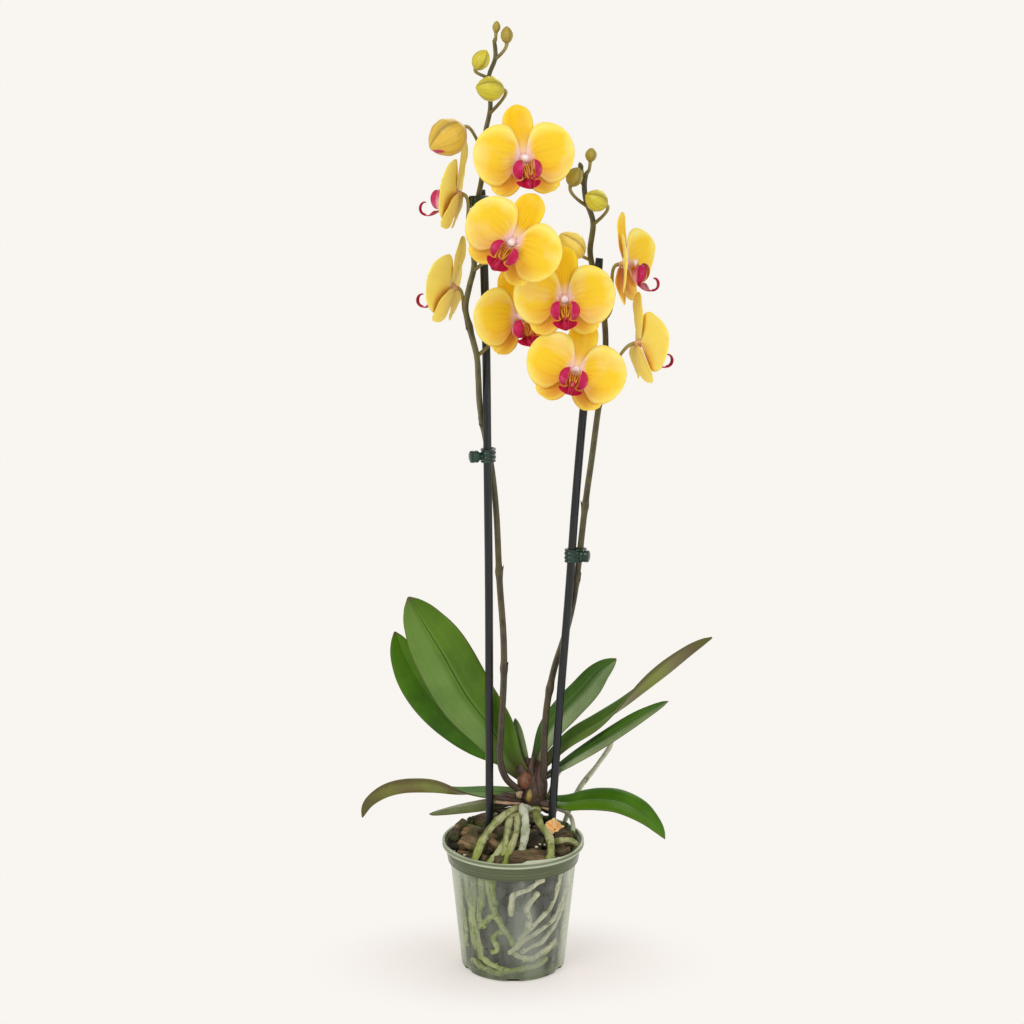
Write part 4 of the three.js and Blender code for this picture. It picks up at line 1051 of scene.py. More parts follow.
def horn(side):
    """One of the crest's two curved horns."""
    return rod(np.array(HORN) * [side, 1, 1], 14, [[0, 1.1], [1, 0.5]], 8, share=0.2)


def throat():
    """The striped floor between the side lobes."""
    def place(u, v):
        x = (6.8 - 3 * u) * v
        y = -3.5 - 11 * u + 0.16 * x * x * (1 - u)
        z = 3.2 + 5.4 * u + 0.1 * x * x
        return np.stack([x, y, z], axis=-1)
    return blade(place, 12, 12, 0.8)


def callus():
    """The lumpy crest in the throat."""
    path = [[0, -5, 4.6], [0, -8.4, 8.2], [0, -11.8, 11], [0, -15, 12.6]]
    shape = wavy((0.16, 0, 3, math.pi / 2), (0.1, 9, 2, 0))
    return rod(path, 20, [[0, 3], [0.6, 3], [1, 1.4]], 16, shape, share=0.2)


def column():
    """The column, swollen under its cap and hollowed below."""
    path = [[0, 0.9, -1], [0, 0.7, 3], [0, 0, 6.4], [0, -1, 8.6]]
    sizes = [[0, 3.1], [0.3, 2.5], [0.6, 2.7], [0.85, 3], [1, 2.6]]

    def shape(t, angle):
        return 1 - 0.12 * np.clip(np.cos(angle - math.pi), 0, 1) ** 2 * t

    return rod(path, 26, sizes, 20, shape, (False, True), 0.22)


def hub():
    sizes = [[0, 1.7], [0.3, 2.3], [0.7, 3.6], [1, 3.4]]
    return rod([[0, 0, -HUB_DEPTH], [0, 0, 0.6]], 14, sizes, 16, share=0.12)


def make_flower(name, at, axes, cup, splay, seed):
    draw = np.random.default_rng(seed)
    tepals, lip = Surfaces(), Surfaces()

    def jitter(size):
        return size * (draw.random() - 0.5)

    p = PETAL_SHAPE
    for side in (1, -1):
        petal = tepal(
            PETAL, 90 - p["angle"] + jitter(5), p["raise"], p["lift"] + jitter(0.03), p["bend"],
            p["turned_back"] + jitter(1.2), 0.7, draw, 0.7, cup,
        )
        tepals.add(on_side(upward_marks(petal), side), 0, axes, at)
    tepals.add(tepal(DORSAL, -4 + jitter(3), -1.6, 0, 1.6, 1.6, 0.5, draw, -0.5), 1, axes, at)
    for side in (1, -1):
        sepal = tepal(LATERAL, splay - 3 + jitter(4), -4.1, 0, 5, 1.6, 0.6, draw, 0.5)
        tepals.add(on_side(sepal, side), 2, axes, at)
    tepals.add(hub(), 3, axes, at)
    for side in (1, -1):
        lip.add(on_side(side_lobe(), side), 0, axes, at)
        lip.add(tendril(side), 2, axes, at)
        lip.add(horn(side), 1, axes, at)
    for part, finish in ((middle_lobe(), 2), (throat(), 1), (callus(), 1)):
        lip.add(part, finish, axes, at)
    tepals.fine(f"{name}_tepals", ["petal", "dorsal", "lateral", "hub"], "petal")
    lip.fine(f"{name}_lip", ["lip", "callus", "crescent"], "lip")
    Surfaces().add(column(), 0, axes, at).fine(f"{name}_column", ["column"], "column")


# ---- buds and spikes ----

BUD_FINISHES = {
    "bud_left_1": "bud_large", "bud_right_1": "bud_pale", "bud_left_4": "bud_small",
    "bud_left_5": "bud_small", "bud_right_3": "bud_small", "bud_right_4": "bud_small",
}
BUD_OUTLINE = [
    [0, 0.16], [0.06, 0.45], [0.14, 0.7], [0.4, 1], [0.66, 0.92], [0.88, 0.55], [0.96, 0.3], [1, 0.06],
]
STALK_SIZES = [[0, 2], [0.1, 1.45], [0.5, 1.25], [0.85, 1.4], [1, 1.7]]


def bud_body(at, tip, size):
    """An egg with three sepals closed over it, their seams sunk in."""
    length, width = size
    rings = 34
    path = np.array(at, float) + unit(tip) * np.linspace(-length / 2, length / 2, rings)[:, None]
    half = steps(BUD_OUTLINE, np.linspace(0, 1, rings))
    smooth = np.convolve(np.pad(half, 2, mode="edge"), [0.1, 0.2, 0.4, 0.2, 0.1], mode="valid")

    def shape(along, angle):
        seam = np.abs(np.cos(1.5 * angle + 0.6 * along)) ** 0.5
        sunk = 0.075 * (1 - seam) * np.sin(math.pi * np.clip(along, 0, 1))
        return 1 - sunk - 0.02 * np.sin(5 * angle + 3 * along)

    return tube(path, smooth * width / 2, 36, shape)


def make_bud(name, at, tip, size):
    Surfaces().add(bud_body(at, tip, size)).fine(name, [BUD_FINISHES.get(name, "bud")], "bud")


def stalk(spike, height, end, backward):
    """A flower's or bud's stalk, from inside the spike."""
    start = at_height(SPIKES[spike], height)
    reach = np.linalg.norm(end - start)
    side = unit((end - start) * [1, 1, 0])
    near_start = start + side * 0.3 * reach + [0, 0, 0.16 * reach]
    near_end = end + backward * 0.28 * reach
    t = np.linspace(0, 1, 26)[:, None]
    path = (1 - t) ** 3 * start + 3 * t * (1 - t) ** 2 * near_start
    path = path + 3 * t**2 * (1 - t) * near_end + t**3 * end
    points, faces, marks = tube(path, steps(STALK_SIZES, t[:, 0]), 12)
    return points, faces, marks * [1, 1, 2]


def scale_bract(spike, height, side):
    """A small dry bract that clasps the spike."""
    foot = at_height(SPIKES[spike], height)
    radius = steps(SPIKE_TAPER, height) + 0.35

    def place(u, v):
        spread = 1.5 * v * (1 - 0.85 * u)
        out = radius + 0.7 * u * u
        return np.stack([side * out * np.cos(spread), -out * np.sin(spread), 7 * u - 2], axis=-1) + foot

    return blade(place, 10, 10, 0.6)


def make_spike(name):
    count = 220
    path = spline(SPIKES[name], count)
    size = steps(SPIKE_TAPER, path[:, 2])
    for height, _ in BRACTS[name]:
        size = size * (1 + 0.28 * np.exp(-(((path[:, 2] - height) / 4) ** 2)))
    size = rounded_ends(size, count, (False, True), 0.01)
    surfaces = Surfaces().add(tube(path, size, 18, wavy((0.04, 25, 3, 0), (0.02, 0, 7, 0))))
    for height, side in BRACTS[name]:
        surfaces.add(scale_bract(name, height, side), 1)
    for at, turn, nod, roll, _, _, spike, height in FLOWERS.values():
        if spike == name:
            axes = facing(turn, nod, roll)
            end = np.array(at) + axes @ [0, 0, -HUB_DEPTH - CLEARANCE + 0.6]
            surfaces.add(stalk(name, height, end, axes @ [0, 0, -1]))
    for at, tip, (length, _), spike, height in [*BUDS.values(), TINY_BUD]:
        if spike == name:
            backward = -unit(tip)
            surfaces.add(stalk(name, height, np.array(at) + backward * (length / 2 - 0.4), backward))
    if TINY_BUD[3] == name:
        surfaces.add(bud_body(*TINY_BUD[:3]))
    surfaces.fine(name, ["stem", "sheath"], "stem")


# ---- leaves, crown and roots ----

# How far the near half of a leaf turns up, in degrees, where along the leaf it starts and ends, and
# how much narrower it looks once it is rolled up.
TURNED_UP = {"leaf_right_long": (84, 0.24, 0.8, 0.1), "leaf_left_arched": (84, 0.12, 0.6, 0.12)}


def leaf_blade(spine, sides, width, fold, turned_up, seed):
    rows, columns = 64, 24
    line = spline(spine, rows + 1)
    ahead = unit(np.gradient(line, axis=0))
    start, end = map(unit, sides)
    share = np.linspace(0, 1, rows + 1)
    table = spline(LEAF_OUTLINE, 200)
    side = start + (end - start) * share[:, None] ** 0.6
    side = unit(side - ahead * np.sum(side * ahead, axis=1, keepdims=True))
    up = unit(np.cross(side, ahead))
    half = width * np.interp(share, table[:, 0], table[:, 1])
    upper = 1 if np.mean(up[: rows // 2] @ [0, -0.6, 1]) > 0 else -1
    angle, first, last, narrower = turned_up

    def place(u, v):
        i = np.rint(u * rows).astype(int)
        out = half[i]
        lift = fold * out * np.sqrt(v * v + 0.003) - 0.35 * np.exp(-((v / 0.08) ** 2))
        lift -= 0.07 * out * np.abs(v) ** 4
        lift += 0.02 * width * np.sin(7 * u + 2.5 * v + seed)
        rolled = np.clip((u - first) / (last - first), 0, 1)
        rolled = rolled**2 * (3 - 2 * rolled)
        flat = out * v * (1 - narrower * rolled)
        turn = np.radians(angle) * rolled * np.clip(6 * v, 0, 1) * upper
        across = flat * np.cos(turn) - lift * np.sin(turn)
        raised = flat * np.sin(turn) + lift * np.cos(turn)
        return line[i] + side[i] * across[..., None] + up[i] * raised[..., None]

    points, faces, marks = blade(place, rows, columns, 1.9)
    return points, faces, marks * [1, 1, upper]


def make_leaf(name, spine, sides, width, fold, finish):
    seed = sum(map(ord, name)) % 7
    leaf = leaf_blade(spine, sides, width, fold, TURNED_UP.get(name, (0, 0, 1, 0)), seed)
    Surfaces().add(leaf).fine(name, [finish], "leaf")


# The crown's middle line, and its width from its foot up as a share of the full one.
CROWN = np.array([[17, 12, 136], [17, 14, 150], [16, 16, 162], [14, 18, 174]], float)
CROWN_WIDTHS = [[0, 0.72], [0.14, 0.93], [0.42, 0.98], [0.66, 0.88], [0.86, 0.62], [1, 0.28]]

# Sheaths round the crown: foot height, length, turn round the stem, how far each wraps and leans.
SHEATHS = [
    (136, 26, 200, 2.3, 0.05), (137, 30, 20, 2.3, 0.08), (141, 34, 250, 1.9, 0.14), (144, 32, 330, 1.8, 0.2),
    (150, 24, 150, 2, 0.12), (138, 18, 290, 1.6, 0.02),
]


def sheath(foot, length, turn, wrap, lean):
    """An old leaf base that clasps the crown."""
    def place(u, v):
        z = foot + length * u
        x0, y0 = (np.interp(z, CROWN[:, 2], CROWN[:, k]) for k in (0, 1))
        grow = steps(CROWN_WIDTHS, np.clip((z - 136) / 38, 0, 1))
        around = math.radians(turn) + wrap * v * (1 - 0.75 * u**2.2)
        out = grow * (0.94 + lean * u)
        return np.stack([x0 + 12.2 * out * np.cos(around), y0 + 8.2 * out * np.sin(around), z], axis=-1)
    return blade(place, 20, 24, 1.2)


# Lumps on the crown: the path, the radius in the middle, and the finish.
CROWN_LUMPS = [
    ([[9.4, 9, 151], [9.2, 7.4, 157.4], [12, 10.4, 164.6]], 6.1, 1),
    ([[6.4, 5.4, 143.6], [4.8, 3.6, 147], [7, 6, 150.4]], 2.7, 3),
    ([[12.6, 7, 139.6], [13.4, 5.2, 145], [14.4, 7.6, 151]], 2.6, 2),
    ([[22, 9, 139], [22.8, 7.4, 149], [23.4, 9, 163], [26, 8, 178]], 4.4, 0),
    ([[17, 8.4, 138], [18, 6.8, 146], [18.6, 8.6, 158]], 3.4, 0),
    ([[14, 9.4, 154], [10, 9.8, 161], [7, 12, 168], [7, 15.6, 176]], 4.2, 0),
    ([[16, 10, 156], [15, 11, 166], [17, 14, 177]], 3.8, 0),
    ([[21, 9, 139], [29, 9, 136], [36, 12, 134.6]], 3.8, 0),
    ([[22, 11, 134], [29, 12, 130.6], [37, 14, 128]], 3.4, 0),
    ([[24, 7, 134.4], [30, 6, 133], [36, 7, 131.6]], 1.5, 3),
    ([[12, 9, 134], [-4, 12, 130], [-20, 18, 127]], 2.8, 0),
    ([[6, 9, 142], [-2, 5, 145.4], [-10, 6, 147]], 2.2, 0),
    ([[8, 8, 139.6], [-4, 6, 142], [-14, 9, 142.6], [-22, 14, 141]], 2.2, 0),
    ([[8, 7, 137.4], [-6, 6, 138.6], [-17, 10, 138]], 1.7, 3),
    ([[8, 8, 135.6], [-6, 9, 136], [-18, 14, 134]], 1.6, 0),
]


def make_crown():
    core = [[17, 12, 137.5], [17, 14, 150], [16, 16, 162], [14, 18, 173]]
    sizes = [[0, 5.6], [0.14, 7.4], [0.42, 7.9], [0.66, 7.2], [0.86, 5.2], [1, 2]]
    shape = wavy((0.06, 22, 1, 0), (0.05, 0, 3, 0))
    surfaces = Surfaces().add(rod(core, 40, sizes, 28, shape, share=0.05))
    for values in SHEATHS:
        surfaces.add(sheath(*values))
    for k, (path, radius, finish) in enumerate(CROWN_LUMPS):
        sizes = [[0, 0.7 * radius], [0.5, radius], [1, 0.62 * radius]]
        surfaces.add(rod(path, 30, sizes, 20, wavy((0.07, 6, 3, k), (0.05, 13, 1, 0)), share=0.24), finish)
    surfaces.piece("crown_sheaths", ["sheath", "lump", "yellowed", "knob"], "crown", ["crown"])


def make_roots():
    """The roots that run from the crown into the bark, knobbly and a little flattened."""
    surfaces = Surfaces()
    for k, (path, radius) in enumerate(ROOTS):
        shape = wavy((0.1, 17, 0, k), (0.06, 41, 2, k), (0.05, 9, 3, 0))
        root = rod(path, 90, [[0, radius], [1, radius]], 16, shape, (True, False), 0.02)
        surfaces.add(root, 1 if k in WHITE_ROOTS else 0)
    stub = [[17, 12, 127], [17, 12, 131], [17, 12, 135.4]]
    surfaces.add(rod(stub, 12, [[0, 7.4], [1, 7.4]], 20, share=0.3))
    surfaces.fine("aerial_roots", ["root", "root_white"], "root")


# ---- pot and bark ----


def inner_radius(height):
    rise = (POT["shoulder"] - POT["foot"]) / POT["collar_bottom"]
    return POT["foot"] + rise * min(height, POT["collar_bottom"]) - POT["wall"]


def fillet(profile, size, count):
    """Rounds the corners of a profile."""
    out = [profile[0]]
    for a, b, c in zip(profile, profile[1:], profile[2:]):
        a, b, c = (np.array(p, float) for p in (a, b, c))
        cut = min(size, 0.4 * np.linalg.norm(a - b), 0.4 * np.linalg.norm(c - b))
        start, end = b + unit(a - b) * cut, b + unit(c - b) * cut
        for t in np.linspace(0, 1, count):
            out.append(tuple((1 - t) ** 2 * start + 2 * t * (1 - t) * b + t * t * end))
    return out + [profile[-1]]


def rim_dents(points):
    """The lip is a little out of true, and to the front's right it is torn and turned up."""
    angle = np.degrees(np.arctan2(points[:, 0], -points[:, 1]))
    high = np.clip((points[:, 2] - 106) / 3, 0, 1)
    turned_up = np.clip((angle - 8) / 2.5, 0, 1) * np.clip((44 - angle) / 20, 0, 1)
    inner = np.clip((59.2 - np.hypot(points[:, 0], points[:, 1])) / 1.4, 0, 1)
    uneven = 0.35 * np.sin(np.radians(5 * angle + 40)) + 0.25 * np.sin(np.radians(11 * angle))
    lifted = points.copy()
    lifted[:, 2] += high * (2 * turned_up * inner - 0.35 + uneven * 0.6)
    lifted[:, :2] *= (1 + 0.004 * high * np.sin(np.radians(3 * angle + 70)))[:, None] - 0.004
    return lifted


# The outside of the pot's lip: how far each corner is inside the rim's radius and below its top.
LIP_CORNERS = [(0.9, 5), (0.1, 4.2), (0.1, 3.4), (0.9, 2.7), (0.8, 1.6), (0.1, 1), (0.3, 0.2), (1, 0)]


def make_pot():
    top, collar, wall = POT["height"], POT["collar_bottom"], POT["wall"]
    step = top - 6
    profile = [(0, 0), (POT["foot"] - 3, 0), (POT["foot"], 0.8)]
    for z in (6, 6.6, 30, 60, collar - 0.6):
        profile.append((POT["foot"] + (POT["shoulder"] - POT["foot"]) * z / collar, z))
    profile.append((POT["collar"], collar))
    for k, z in enumerate(np.arange(collar + 0.6, step - 0.4, 0.85)):
        share = (z - collar) / (step - collar)
        ridge = 0.16 * (k % 2)
        profile.append((POT["collar"] + (POT["collar_top"] - POT["collar"]) * share - ridge, z))
    profile.append((POT["collar_top"] + 0.4, step))
    profile += [(POT["rim"] - inside, top - below) for inside, below in LIP_CORNERS]
    profile += [(POT["mouth"] + 0.5, top - 0.1), (POT["mouth"], top - 0.8)]
    profile += [(POT["collar"] - wall - 0.4, collar + 2), (inner_radius(collar), collar - 1)]
    profile += [(inner_radius(wall), wall), (0, wall)]
    points, faces, marks = turned_body(fillet(profile, 0.5, 3), 160)
    body = Surfaces().add((rim_dents(points), faces, marks))
    pot = body.piece("pot_frosted_shell", ["pot"], "clear_pot", ["pot"])
    cutter = slot_cutter()
    cut = pot.modifiers.new("slots", "BOOLEAN")
    cut.object, cut.operation, cut.solver = cutter, "DIFFERENCE", "EXACT"
    settle(pot)
    bpy.data.objects.remove(cutter)


def settle(piece):
    """Applies a piece's modifiers."""
    ready = piece.evaluated_get(bpy.context.evaluated_depsgraph_get())
    mesh = bpy.data.meshes.new_from_object(ready)
    old = piece.data
    piece.modifiers.clear()
    piece.data = mesh
    bpy.data.meshes.remove(old)


def slot_cutter():
    """The drainage slots at the foot, as one mesh."""
    width, depth, height = POT["slot_width"] / 2, POT["wall"] + 1.2, POT["slot_height"]
    corners = [(x, y, z) for z in (-height, height) for y in (-depth, depth) for x in (-width, width)]
    box = [[0, 2, 3, 1], [4, 5, 7, 6], [0, 1, 5, 4], [2, 6, 7, 3], [0, 4, 6, 2], [1, 3, 7, 5]]
    points, faces = [], []
    for k in range(POT["slots"]):
        turn = rotation(2, 360 * k / POT["slots"])
        faces += [[i + len(points) for i in face] for face in box]
        points += [tuple(turn @ (np.array(c) - [0, POT["foot"], 0]) * MM) for c in corners]
    mesh = bpy.data.meshes.new("slots")
    mesh.from_pydata(points, [], faces)
    return link("slots", mesh)


def heap_height(x, y):
    """The bark's surface, which rises to the rim behind the plant."""
    out = np.minimum(1, np.hypot(x - 6, y - 6) / inner_radius(MEDIUM["edge"]))
    small = np.sin(x * 0.31 + 1.3) * np.cos(y * 0.27 - 0.4)
    lumpy = small + 0.6 * np.sin(x * 0.13 - y * 0.19)
    heap = MEDIUM["mound"] - (MEDIUM["mound"] - MEDIUM["edge"]) * out**1.6
    back = np.clip((y - 0.35 * x) / 50, 0, 1)
    return heap + MEDIUM["roughness"] * lumpy + 7 * back**1.5


# Chips placed one by one: the middle, the size, the turn and the tilts in degrees, and the kind.
LARGE_CHIPS = [
    ([-38, 16, 107.5], [27, 18, 8], -16, (12, 6), 0.62),
    ([-33, -6, 106.6], [25, 14, 8], -30, (14, 12), 0.76),
    ([-17, -20, 110.5], [17, 12, 7], 70, (30, 52), 0.5),
    ([13, -37, 105.8], [33, 18, 9], 6, (8, 5), 0.44),
    ([16, -12, 110], [18, 15, 9], 40, (10, -8), 0.06),
    ([40, 6, 108.4], [21, 15, 8], 24, (10, -12), 0.4),
    ([38, -22, 105.6], [18, 13, 7], -42, (10, -10), 0.24),
    ([-4, 4, 111], [22, 16, 8], 12, (8, 4), 0.1),
    ([-24, 34, 112.6], [22, 15, 8], 30, (14, -6), 0.34),
    ([14, 38, 113], [24, 15, 8], -12, (14, 6), 0.54),
    ([-44, 27, 111], [12, 8, 6], 60, (14, -12), 0.4),
    ([-6, 47, 113], [15, 8, 7], 4, (10, 6), 0.12),
    ([-6, -30, 104.6], [16, 12, 7], -14, (10, -4), 0.15),
]

# How many chips and crumbs there are of each sort, and the seeds that some sorts start from.
COARSE_CHIPS, FINE_CHIPS, RIM_CRUMBS, WALL_CHIPS, PERLITE = 90, 120, 60, 170, 22
WALL_SEED, LARGE_SEED, PERLITE_SEED = 200, 400, 600


def chip(size, seed, kind):
    """One piece of bark: a flat block with broken edges."""
    rows, sides = 8, 16
    lift, around = np.meshgrid(
        (np.linspace(0, 1, rows + 1) - 0.5) * math.pi,
        np.linspace(0, 1, sides, endpoint=False) * 2 * math.pi, indexing="ij",
    )

    def square(a):
        return np.sign(a) * np.abs(a) ** 0.45

    flat = square(np.cos(lift))
    x, y = flat * square(np.cos(around)), flat * square(np.sin(around))
    points = np.stack([x, y, square(np.sin(lift))], axis=-1)
    points = (points * np.array(size) / 2).reshape(-1, 3)
    rough = 0.14 * lumps(points, 0.9 * size[0], seed) + 0.07 * lumps(points, 0.3 * size[0], seed + 1)
    points = points * (1 + rough[:, None])
    marks = np.c_[points[:, 0] / size[0] + seed, points[:, 1] / size[1], np.full(len(points), kind)]
    return points, ring_faces(rows + 1, sides), marks


def heap_chips(surfaces, draw, count, size, sink, kinds):
    """Chips strewn over the bark's surface in a sunflower's order."""
    for k in range(count):
        angle, out = GOLDEN_ANGLE * k + FULL_TURN * draw.random(), math.sqrt((k + 0.5) / count)
        dimensions = np.array(size) * (0.7 + 0.6 * draw.random())
        out *= inner_radius(100) - 0.5 * dimensions[0]
        x, y, _ = polar(out, angle, 0)
        tilts = 56 * (draw.random(2) - 0.5)
        axes = tilted(360 * draw.random(), *tilts)
        kind = kinds[0] + (kinds[1] - kinds[0]) * draw.random()
        z = heap_height(x, y) - sink + 2 * draw.random()
        surfaces.add(chip(dimensions, k, kind), 0, axes, [x, y, z])


def rim_moss(surfaces, draw):
    """Moss and crumbs that stand along the back of the rim."""
    for k in range(RIM_CRUMBS):
        angle = math.radians(8 + 176 * (k + draw.random()) / RIM_CRUMBS)
        size = np.array([7, 5, 5]) * (0.6 + 0.7 * draw.random())
        out = inner_radius(100) - 1.5 - 3.4 * draw.random()
        axes = tilted(360 * draw.random(), 80 * (draw.random() - 0.5), 0)
        z = 107.5 + 5.5 * draw.random()
        kind = 0.95 if draw.random() < 0.6 else 0.25
        surfaces.add(chip(size, k, kind), 0, axes, polar(out, angle, z))


def wall_chips(surfaces, draw):
    """Chips that lie flat behind the wall."""
    for k in range(WALL_CHIPS):
        angle, z = GOLDEN_ANGLE * k, 13.5 + 81 * (k + 0.5) / WALL_CHIPS
        size = np.array([16, 11, 4]) * (0.7 + 0.5 * draw.random())
        axes = rotation(2, math.degrees(angle) - 90) @ rotation(0, 90) @ rotation(2, 180 * draw.random())
        kind = 0.5 * draw.random()
        at = polar(inner_radius(z) - 4.4, angle, z)
        surfaces.add(chip(size, WALL_SEED + k, kind), 2, axes, at)


def perlite(surfaces, draw):
    for k in range(PERLITE):
        angle, out = FULL_TURN * draw.random(), 50 * math.sqrt(draw.random())
        x, y, _ = polar(out, angle, 0)
        size = np.array([2.2, 1.9, 1.6]) * (0.6 + 0.6 * draw.random())
        surfaces.add(chip(size, PERLITE_SEED + k, 1), 1, None, [x, y, heap_height(x, y) + 2.4])


def make_bark():
    draw = np.random.default_rng(7)
    surfaces = Surfaces()
    core = [(0, 3), *((inner_radius(z) - 4, z) for z in (3, 20, 40, 60, 80, 96))]
    core += [(38, 101), (20, 105), (0, 107)]
    points, faces, marks = turned_body(core, 48)
    points = points + unit(points * [1, 1, 0]) * lumps(points, 17, 3)[:, None] * 1.2
    surfaces.add((points, faces, marks * [1, 1, 0.1]), 2)
    heap_chips(surfaces, draw, COARSE_CHIPS, [13, 9, 5.5], 2.6, (0, 0.6))
    heap_chips(surfaces, draw, FINE_CHIPS, [6, 4, 3], 1.6, (0, 0.8))
    for k, (at, size, turn, tilts, kind) in enumerate(LARGE_CHIPS):
        surfaces.add(chip(size, LARGE_SEED + k, kind), 0, tilted(turn, *tilts), at)
    rim_moss(surfaces, draw)
    wall_chips(surfaces, draw)
    perlite(surfaces, draw)
    surfaces.piece("bark_medium_chips", ["bark", "perlite", "inner_bark"], "bark_medium", ["growing_medium"])


def make_wall_roots():
    """The roots that press against the inside of the wall."""
    surfaces = Surfaces()
    count = 80
    for k, (stops, radius, pale) in enumerate(WALL_ROOTS):
        if pale:
            radius *= 0.84
        line = spline([polar(inner_radius(z), math.radians(angle - 90), z) for angle, z in stops], count)
        line[:, 2] += 0.5 * np.sin(np.linspace(0, 17, count) + 1.7 * k)
        limit = np.array([inner_radius(z) for z in line[:, 2]]) - 1.14 * radius - 0.2
        line[:, :2] *= (limit / np.hypot(line[:, 0], line[:, 1]))[:, None]
        shape = wavy((0.08, 23, 0, k), (0.05, 11, 3, 0))
        surfaces.add(tube(line, rounded_ends(radius, count, share=0.04), 14, shape), 1 if pale else 0)
    surfaces.piece("wall_roots", ["root_inside", "root_pale"], "root")


# ---- stakes, clips and the fallen bract ----

# A clip: its height, how far its band and its tab stand out of the stake, and the tab's radii.
CLIP_HEIGHT, CLIP_THICKNESS, CLIP_TAB = 10.8, 2.2, 8.8
CLIP_TAB_SIZES = [[0, 3], [0.22, 3.3], [0.34, 4.9], [0.52, 5], [0.6, 4.5], [0.68, 5], [1, 4.8]]


def make_stake(name):
    count = 60
    size = np.full(count, STAKE_RADIUS - 0.05)
    size[-1] -= 0.4
    Surfaces().add(tube(spline(STAKES[name], count), size, 28)).fine(name, ["stake"], "stake")


def make_clip(name, stake, height, spike, reach):
    """A ribbed band round stake and spike, with a pinch tab that ends in a grip."""
    pole, stem = at_height(STAKES[stake], height), at_height(SPIKES[spike], height)
    across = (stem - pole) * [1, 1, 0]
    span = np.linalg.norm(across)
    across = unit(across)
    along = np.array([-across[1], across[0], 0])
    sides = 48
    angle = np.arange(sides) * 2 * math.pi / sides

    def ring(level, out):
        middle = (pole + stem) / 2 * [1, 1, 0] + [0, 0, height + level * CLIP_HEIGHT]
        round_ = np.cos(angle)[:, None] * across * (span / 2 + out) + np.sin(angle)[:, None] * along * out
        return middle + round_

    thick = STAKE_RADIUS + CLIP_THICKNESS
    rings = []
    for level in np.linspace(-0.5, 0.5, 21):
        rib = 0.9 * abs(math.sin(2 * math.pi * level * 1.5)) - 0.5 * (abs(level) > 0.46)
        rings.append(ring(level, thick + rib - 0.2))
    rings += [ring(level, STAKE_RADIUS + 0.35) for level in (0.5, -0.5)]
    points = np.vstack(rings)
    marks = np.c_[points[:, 2] / 10, np.tile(angle / math.pi - 1, len(rings)), np.ones(len(points))]
    surfaces = Surfaces().add((points, ring_faces(len(rings), sides, True), marks))
    away = np.array([*reach, 0], float)
    tab = [pole + away * thick * 0.8, pole + away * (thick + CLIP_TAB)]

    def shape(t, around):
        return 1 + 0.05 * np.sin(3 * around) * (t > 0.4)

    surfaces.add(rod(tab, 30, CLIP_TAB_SIZES, 20, shape, (False, True), 0.08))
    surfaces.fine(name, ["clip"], "clip")


def make_fallen_bract():
    """A dry papery cup with pointed lobes, that lies open towards the front and left."""
    middle = np.array([34, -7, 121.4])
    axis = unit([-0.3, -0.62, 0.72])
    right = unit(np.cross([0, 0, 1], axis))
    up = np.cross(axis, right)

    def place(u, v):
        angle = math.pi * v
        lobes = 1 + 0.5 * np.clip(np.cos(4 * angle + 0.7), 0, 1) ** 3 * u**3 + 0.06 * np.sin(9 * angle)
        out = (0.7 + 5.4 * u**0.8) * lobes
        deep = 6.2 * u**1.8 + 0.5 * u * np.sin(5 * angle) - 3
        x, y = 1.15 * out * np.sin(angle), 0.9 * out * np.cos(angle)
        return middle + x[..., None] * right + y[..., None] * up + deep[..., None] * axis

    Surfaces().add(blade(place, 14, 64, 0.5)).fine("fallen_bract", ["paper"], "dry_bract")


# ---- the whole plant ----


def make_plant():
    make_pot()
    make_bark()
    make_wall_roots()
    for name in STAKES:
        make_stake(name)
    for name, values in CLIPS.items():
        make_clip(name, *values)
    make_crown()
    make_roots()
    for name, values in LEAVES.items():
        make_leaf(name, *values)
    for name in SPIKES:
        make_spike(name)
    for k, (name, (at, turn, nod, roll, cup, splay, _, _)) in enumerate(FLOWERS.items()):
        make_flower(name, at, facing(turn, nod, roll), cup, splay, 40 + k)
    for name, (at, tip, size, _, _) in BUDS.items():
        make_bud(name, at, tip, size)
    make_fallen_bract()


# ---- floor, light and camera ----

BACKGROUND = srgb(249, 245, 240)
DAYLIGHT = (1.0, 0.985, 0.96, 1.0)

# The floor's radius, and how far out in metres it starts and ends to fade into the background.
FLOOR_RADIUS = 12
FLOOR_FADE = (0.04, 0.19)

# Each light's place in metres, its size and its power. All aim at the plant's middle.
LIGHTS = {
    "key": ((-1.1, -1.5, 1.9), 1.2, 22),
    "fill": ((1.5, -1.1, 1.0), 1.6, 10.5),
    "back": ((0.5, 1.6, 1.6), 1.2, 12),
}
AIM = (0, 0, 0.4)

# The camera's place, how far it looks up from straight down, and its lens and sensor in millimetres.
CAMERA = {"at": (-0.001, -1.470, 0.668), "pitch": 79.25, "lens": 64.69, "sensor": 36}


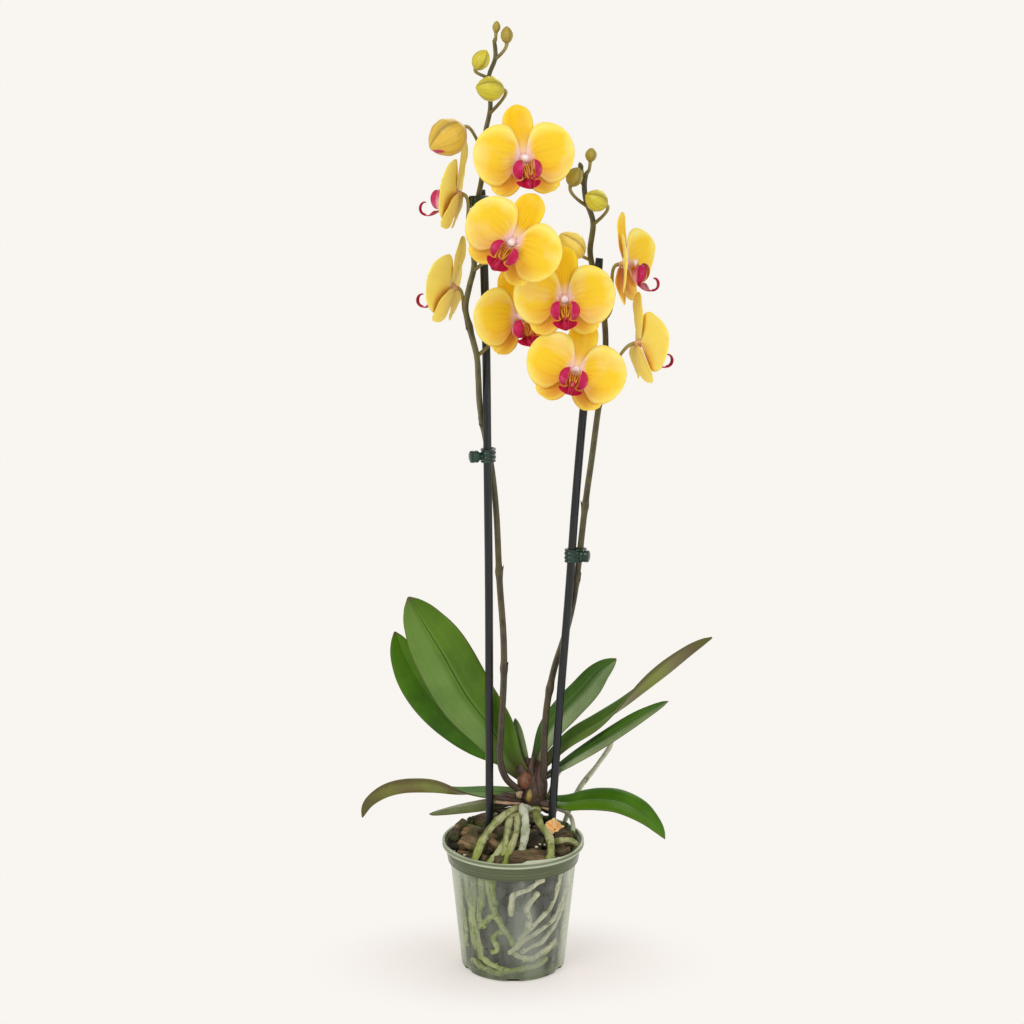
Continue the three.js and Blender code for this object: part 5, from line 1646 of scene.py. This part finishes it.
def make_floor():
    """A wide pale floor that fades into the background away from the pot."""
    mesh = bpy.data.meshes.new("floor")
    sides = 64
    corners = [polar(FLOOR_RADIUS, a, 0) for a in np.arange(sides) * 2 * math.pi / sides]
    mesh.from_pydata(corners, [], [list(range(sides))])
    f = Finish("floor_pale", 0.9, (236, 226, 220))
    far = f.length(f.vector_math("MULTIPLY", f.place(), (1.0, 1.7, 1.0)))
    glow = f.node("ShaderNodeEmission", {"Color": BACKGROUND, "Strength": 1.0})
    f.cover(f.fit(far, *FLOOR_FADE, 0.45, 1.0), f.shader, glow)
    mesh.materials.append(f.done())
    floor = link("floor", mesh)


def make_world():
    """The background is what the camera sees, and a dimmer light of its own falls on the plant."""
    world = bpy.data.worlds.new("studio")
    bpy.context.scene.world = world
    world.use_nodes = True
    nodes, links = world.node_tree.nodes, world.node_tree.links
    seen, light = nodes["Background"], nodes.new("ShaderNodeBackground")
    for node, colour, strength in ((seen, BACKGROUND, 1.0), (light, DAYLIGHT, 0.55)):
        node.inputs["Color"].default_value = colour
        node.inputs["Strength"].default_value = strength
    ray, blend = nodes.new("ShaderNodeLightPath"), nodes.new("ShaderNodeMixShader")
    for k, value in enumerate((ray.outputs["Is Camera Ray"], light.outputs[0], seen.outputs[0])):
        links.new(value, blend.inputs[k])
    links.new(blend.outputs[0], nodes["World Output"].inputs["Surface"])


def area_light(name, at, size, power):
    data = bpy.data.lights.new(name, "AREA")
    data.size, data.energy = size, power
    light = link(name, data)
    light.location = at
    x, y, z = np.array(AIM, float) - at
    light.rotation_euler = (math.atan2(math.hypot(x, y), -z), 0, math.atan2(-x, y))


def make_camera():
    data = bpy.data.cameras.new("camera")
    data.lens, data.sensor_width = CAMERA["lens"], CAMERA["sensor"]
    camera = link("camera", data)
    camera.location = CAMERA["at"]
    camera.rotation_euler = (math.radians(CAMERA["pitch"]), 0, 0)
    bpy.context.scene.camera = camera


def make_studio():
    make_camera()
    make_floor()
    make_world()
    for name, values in LIGHTS.items():
        area_light(name, *values)
    bpy.context.scene.view_settings.view_transform = "Standard"


make_studio()
make_plant()
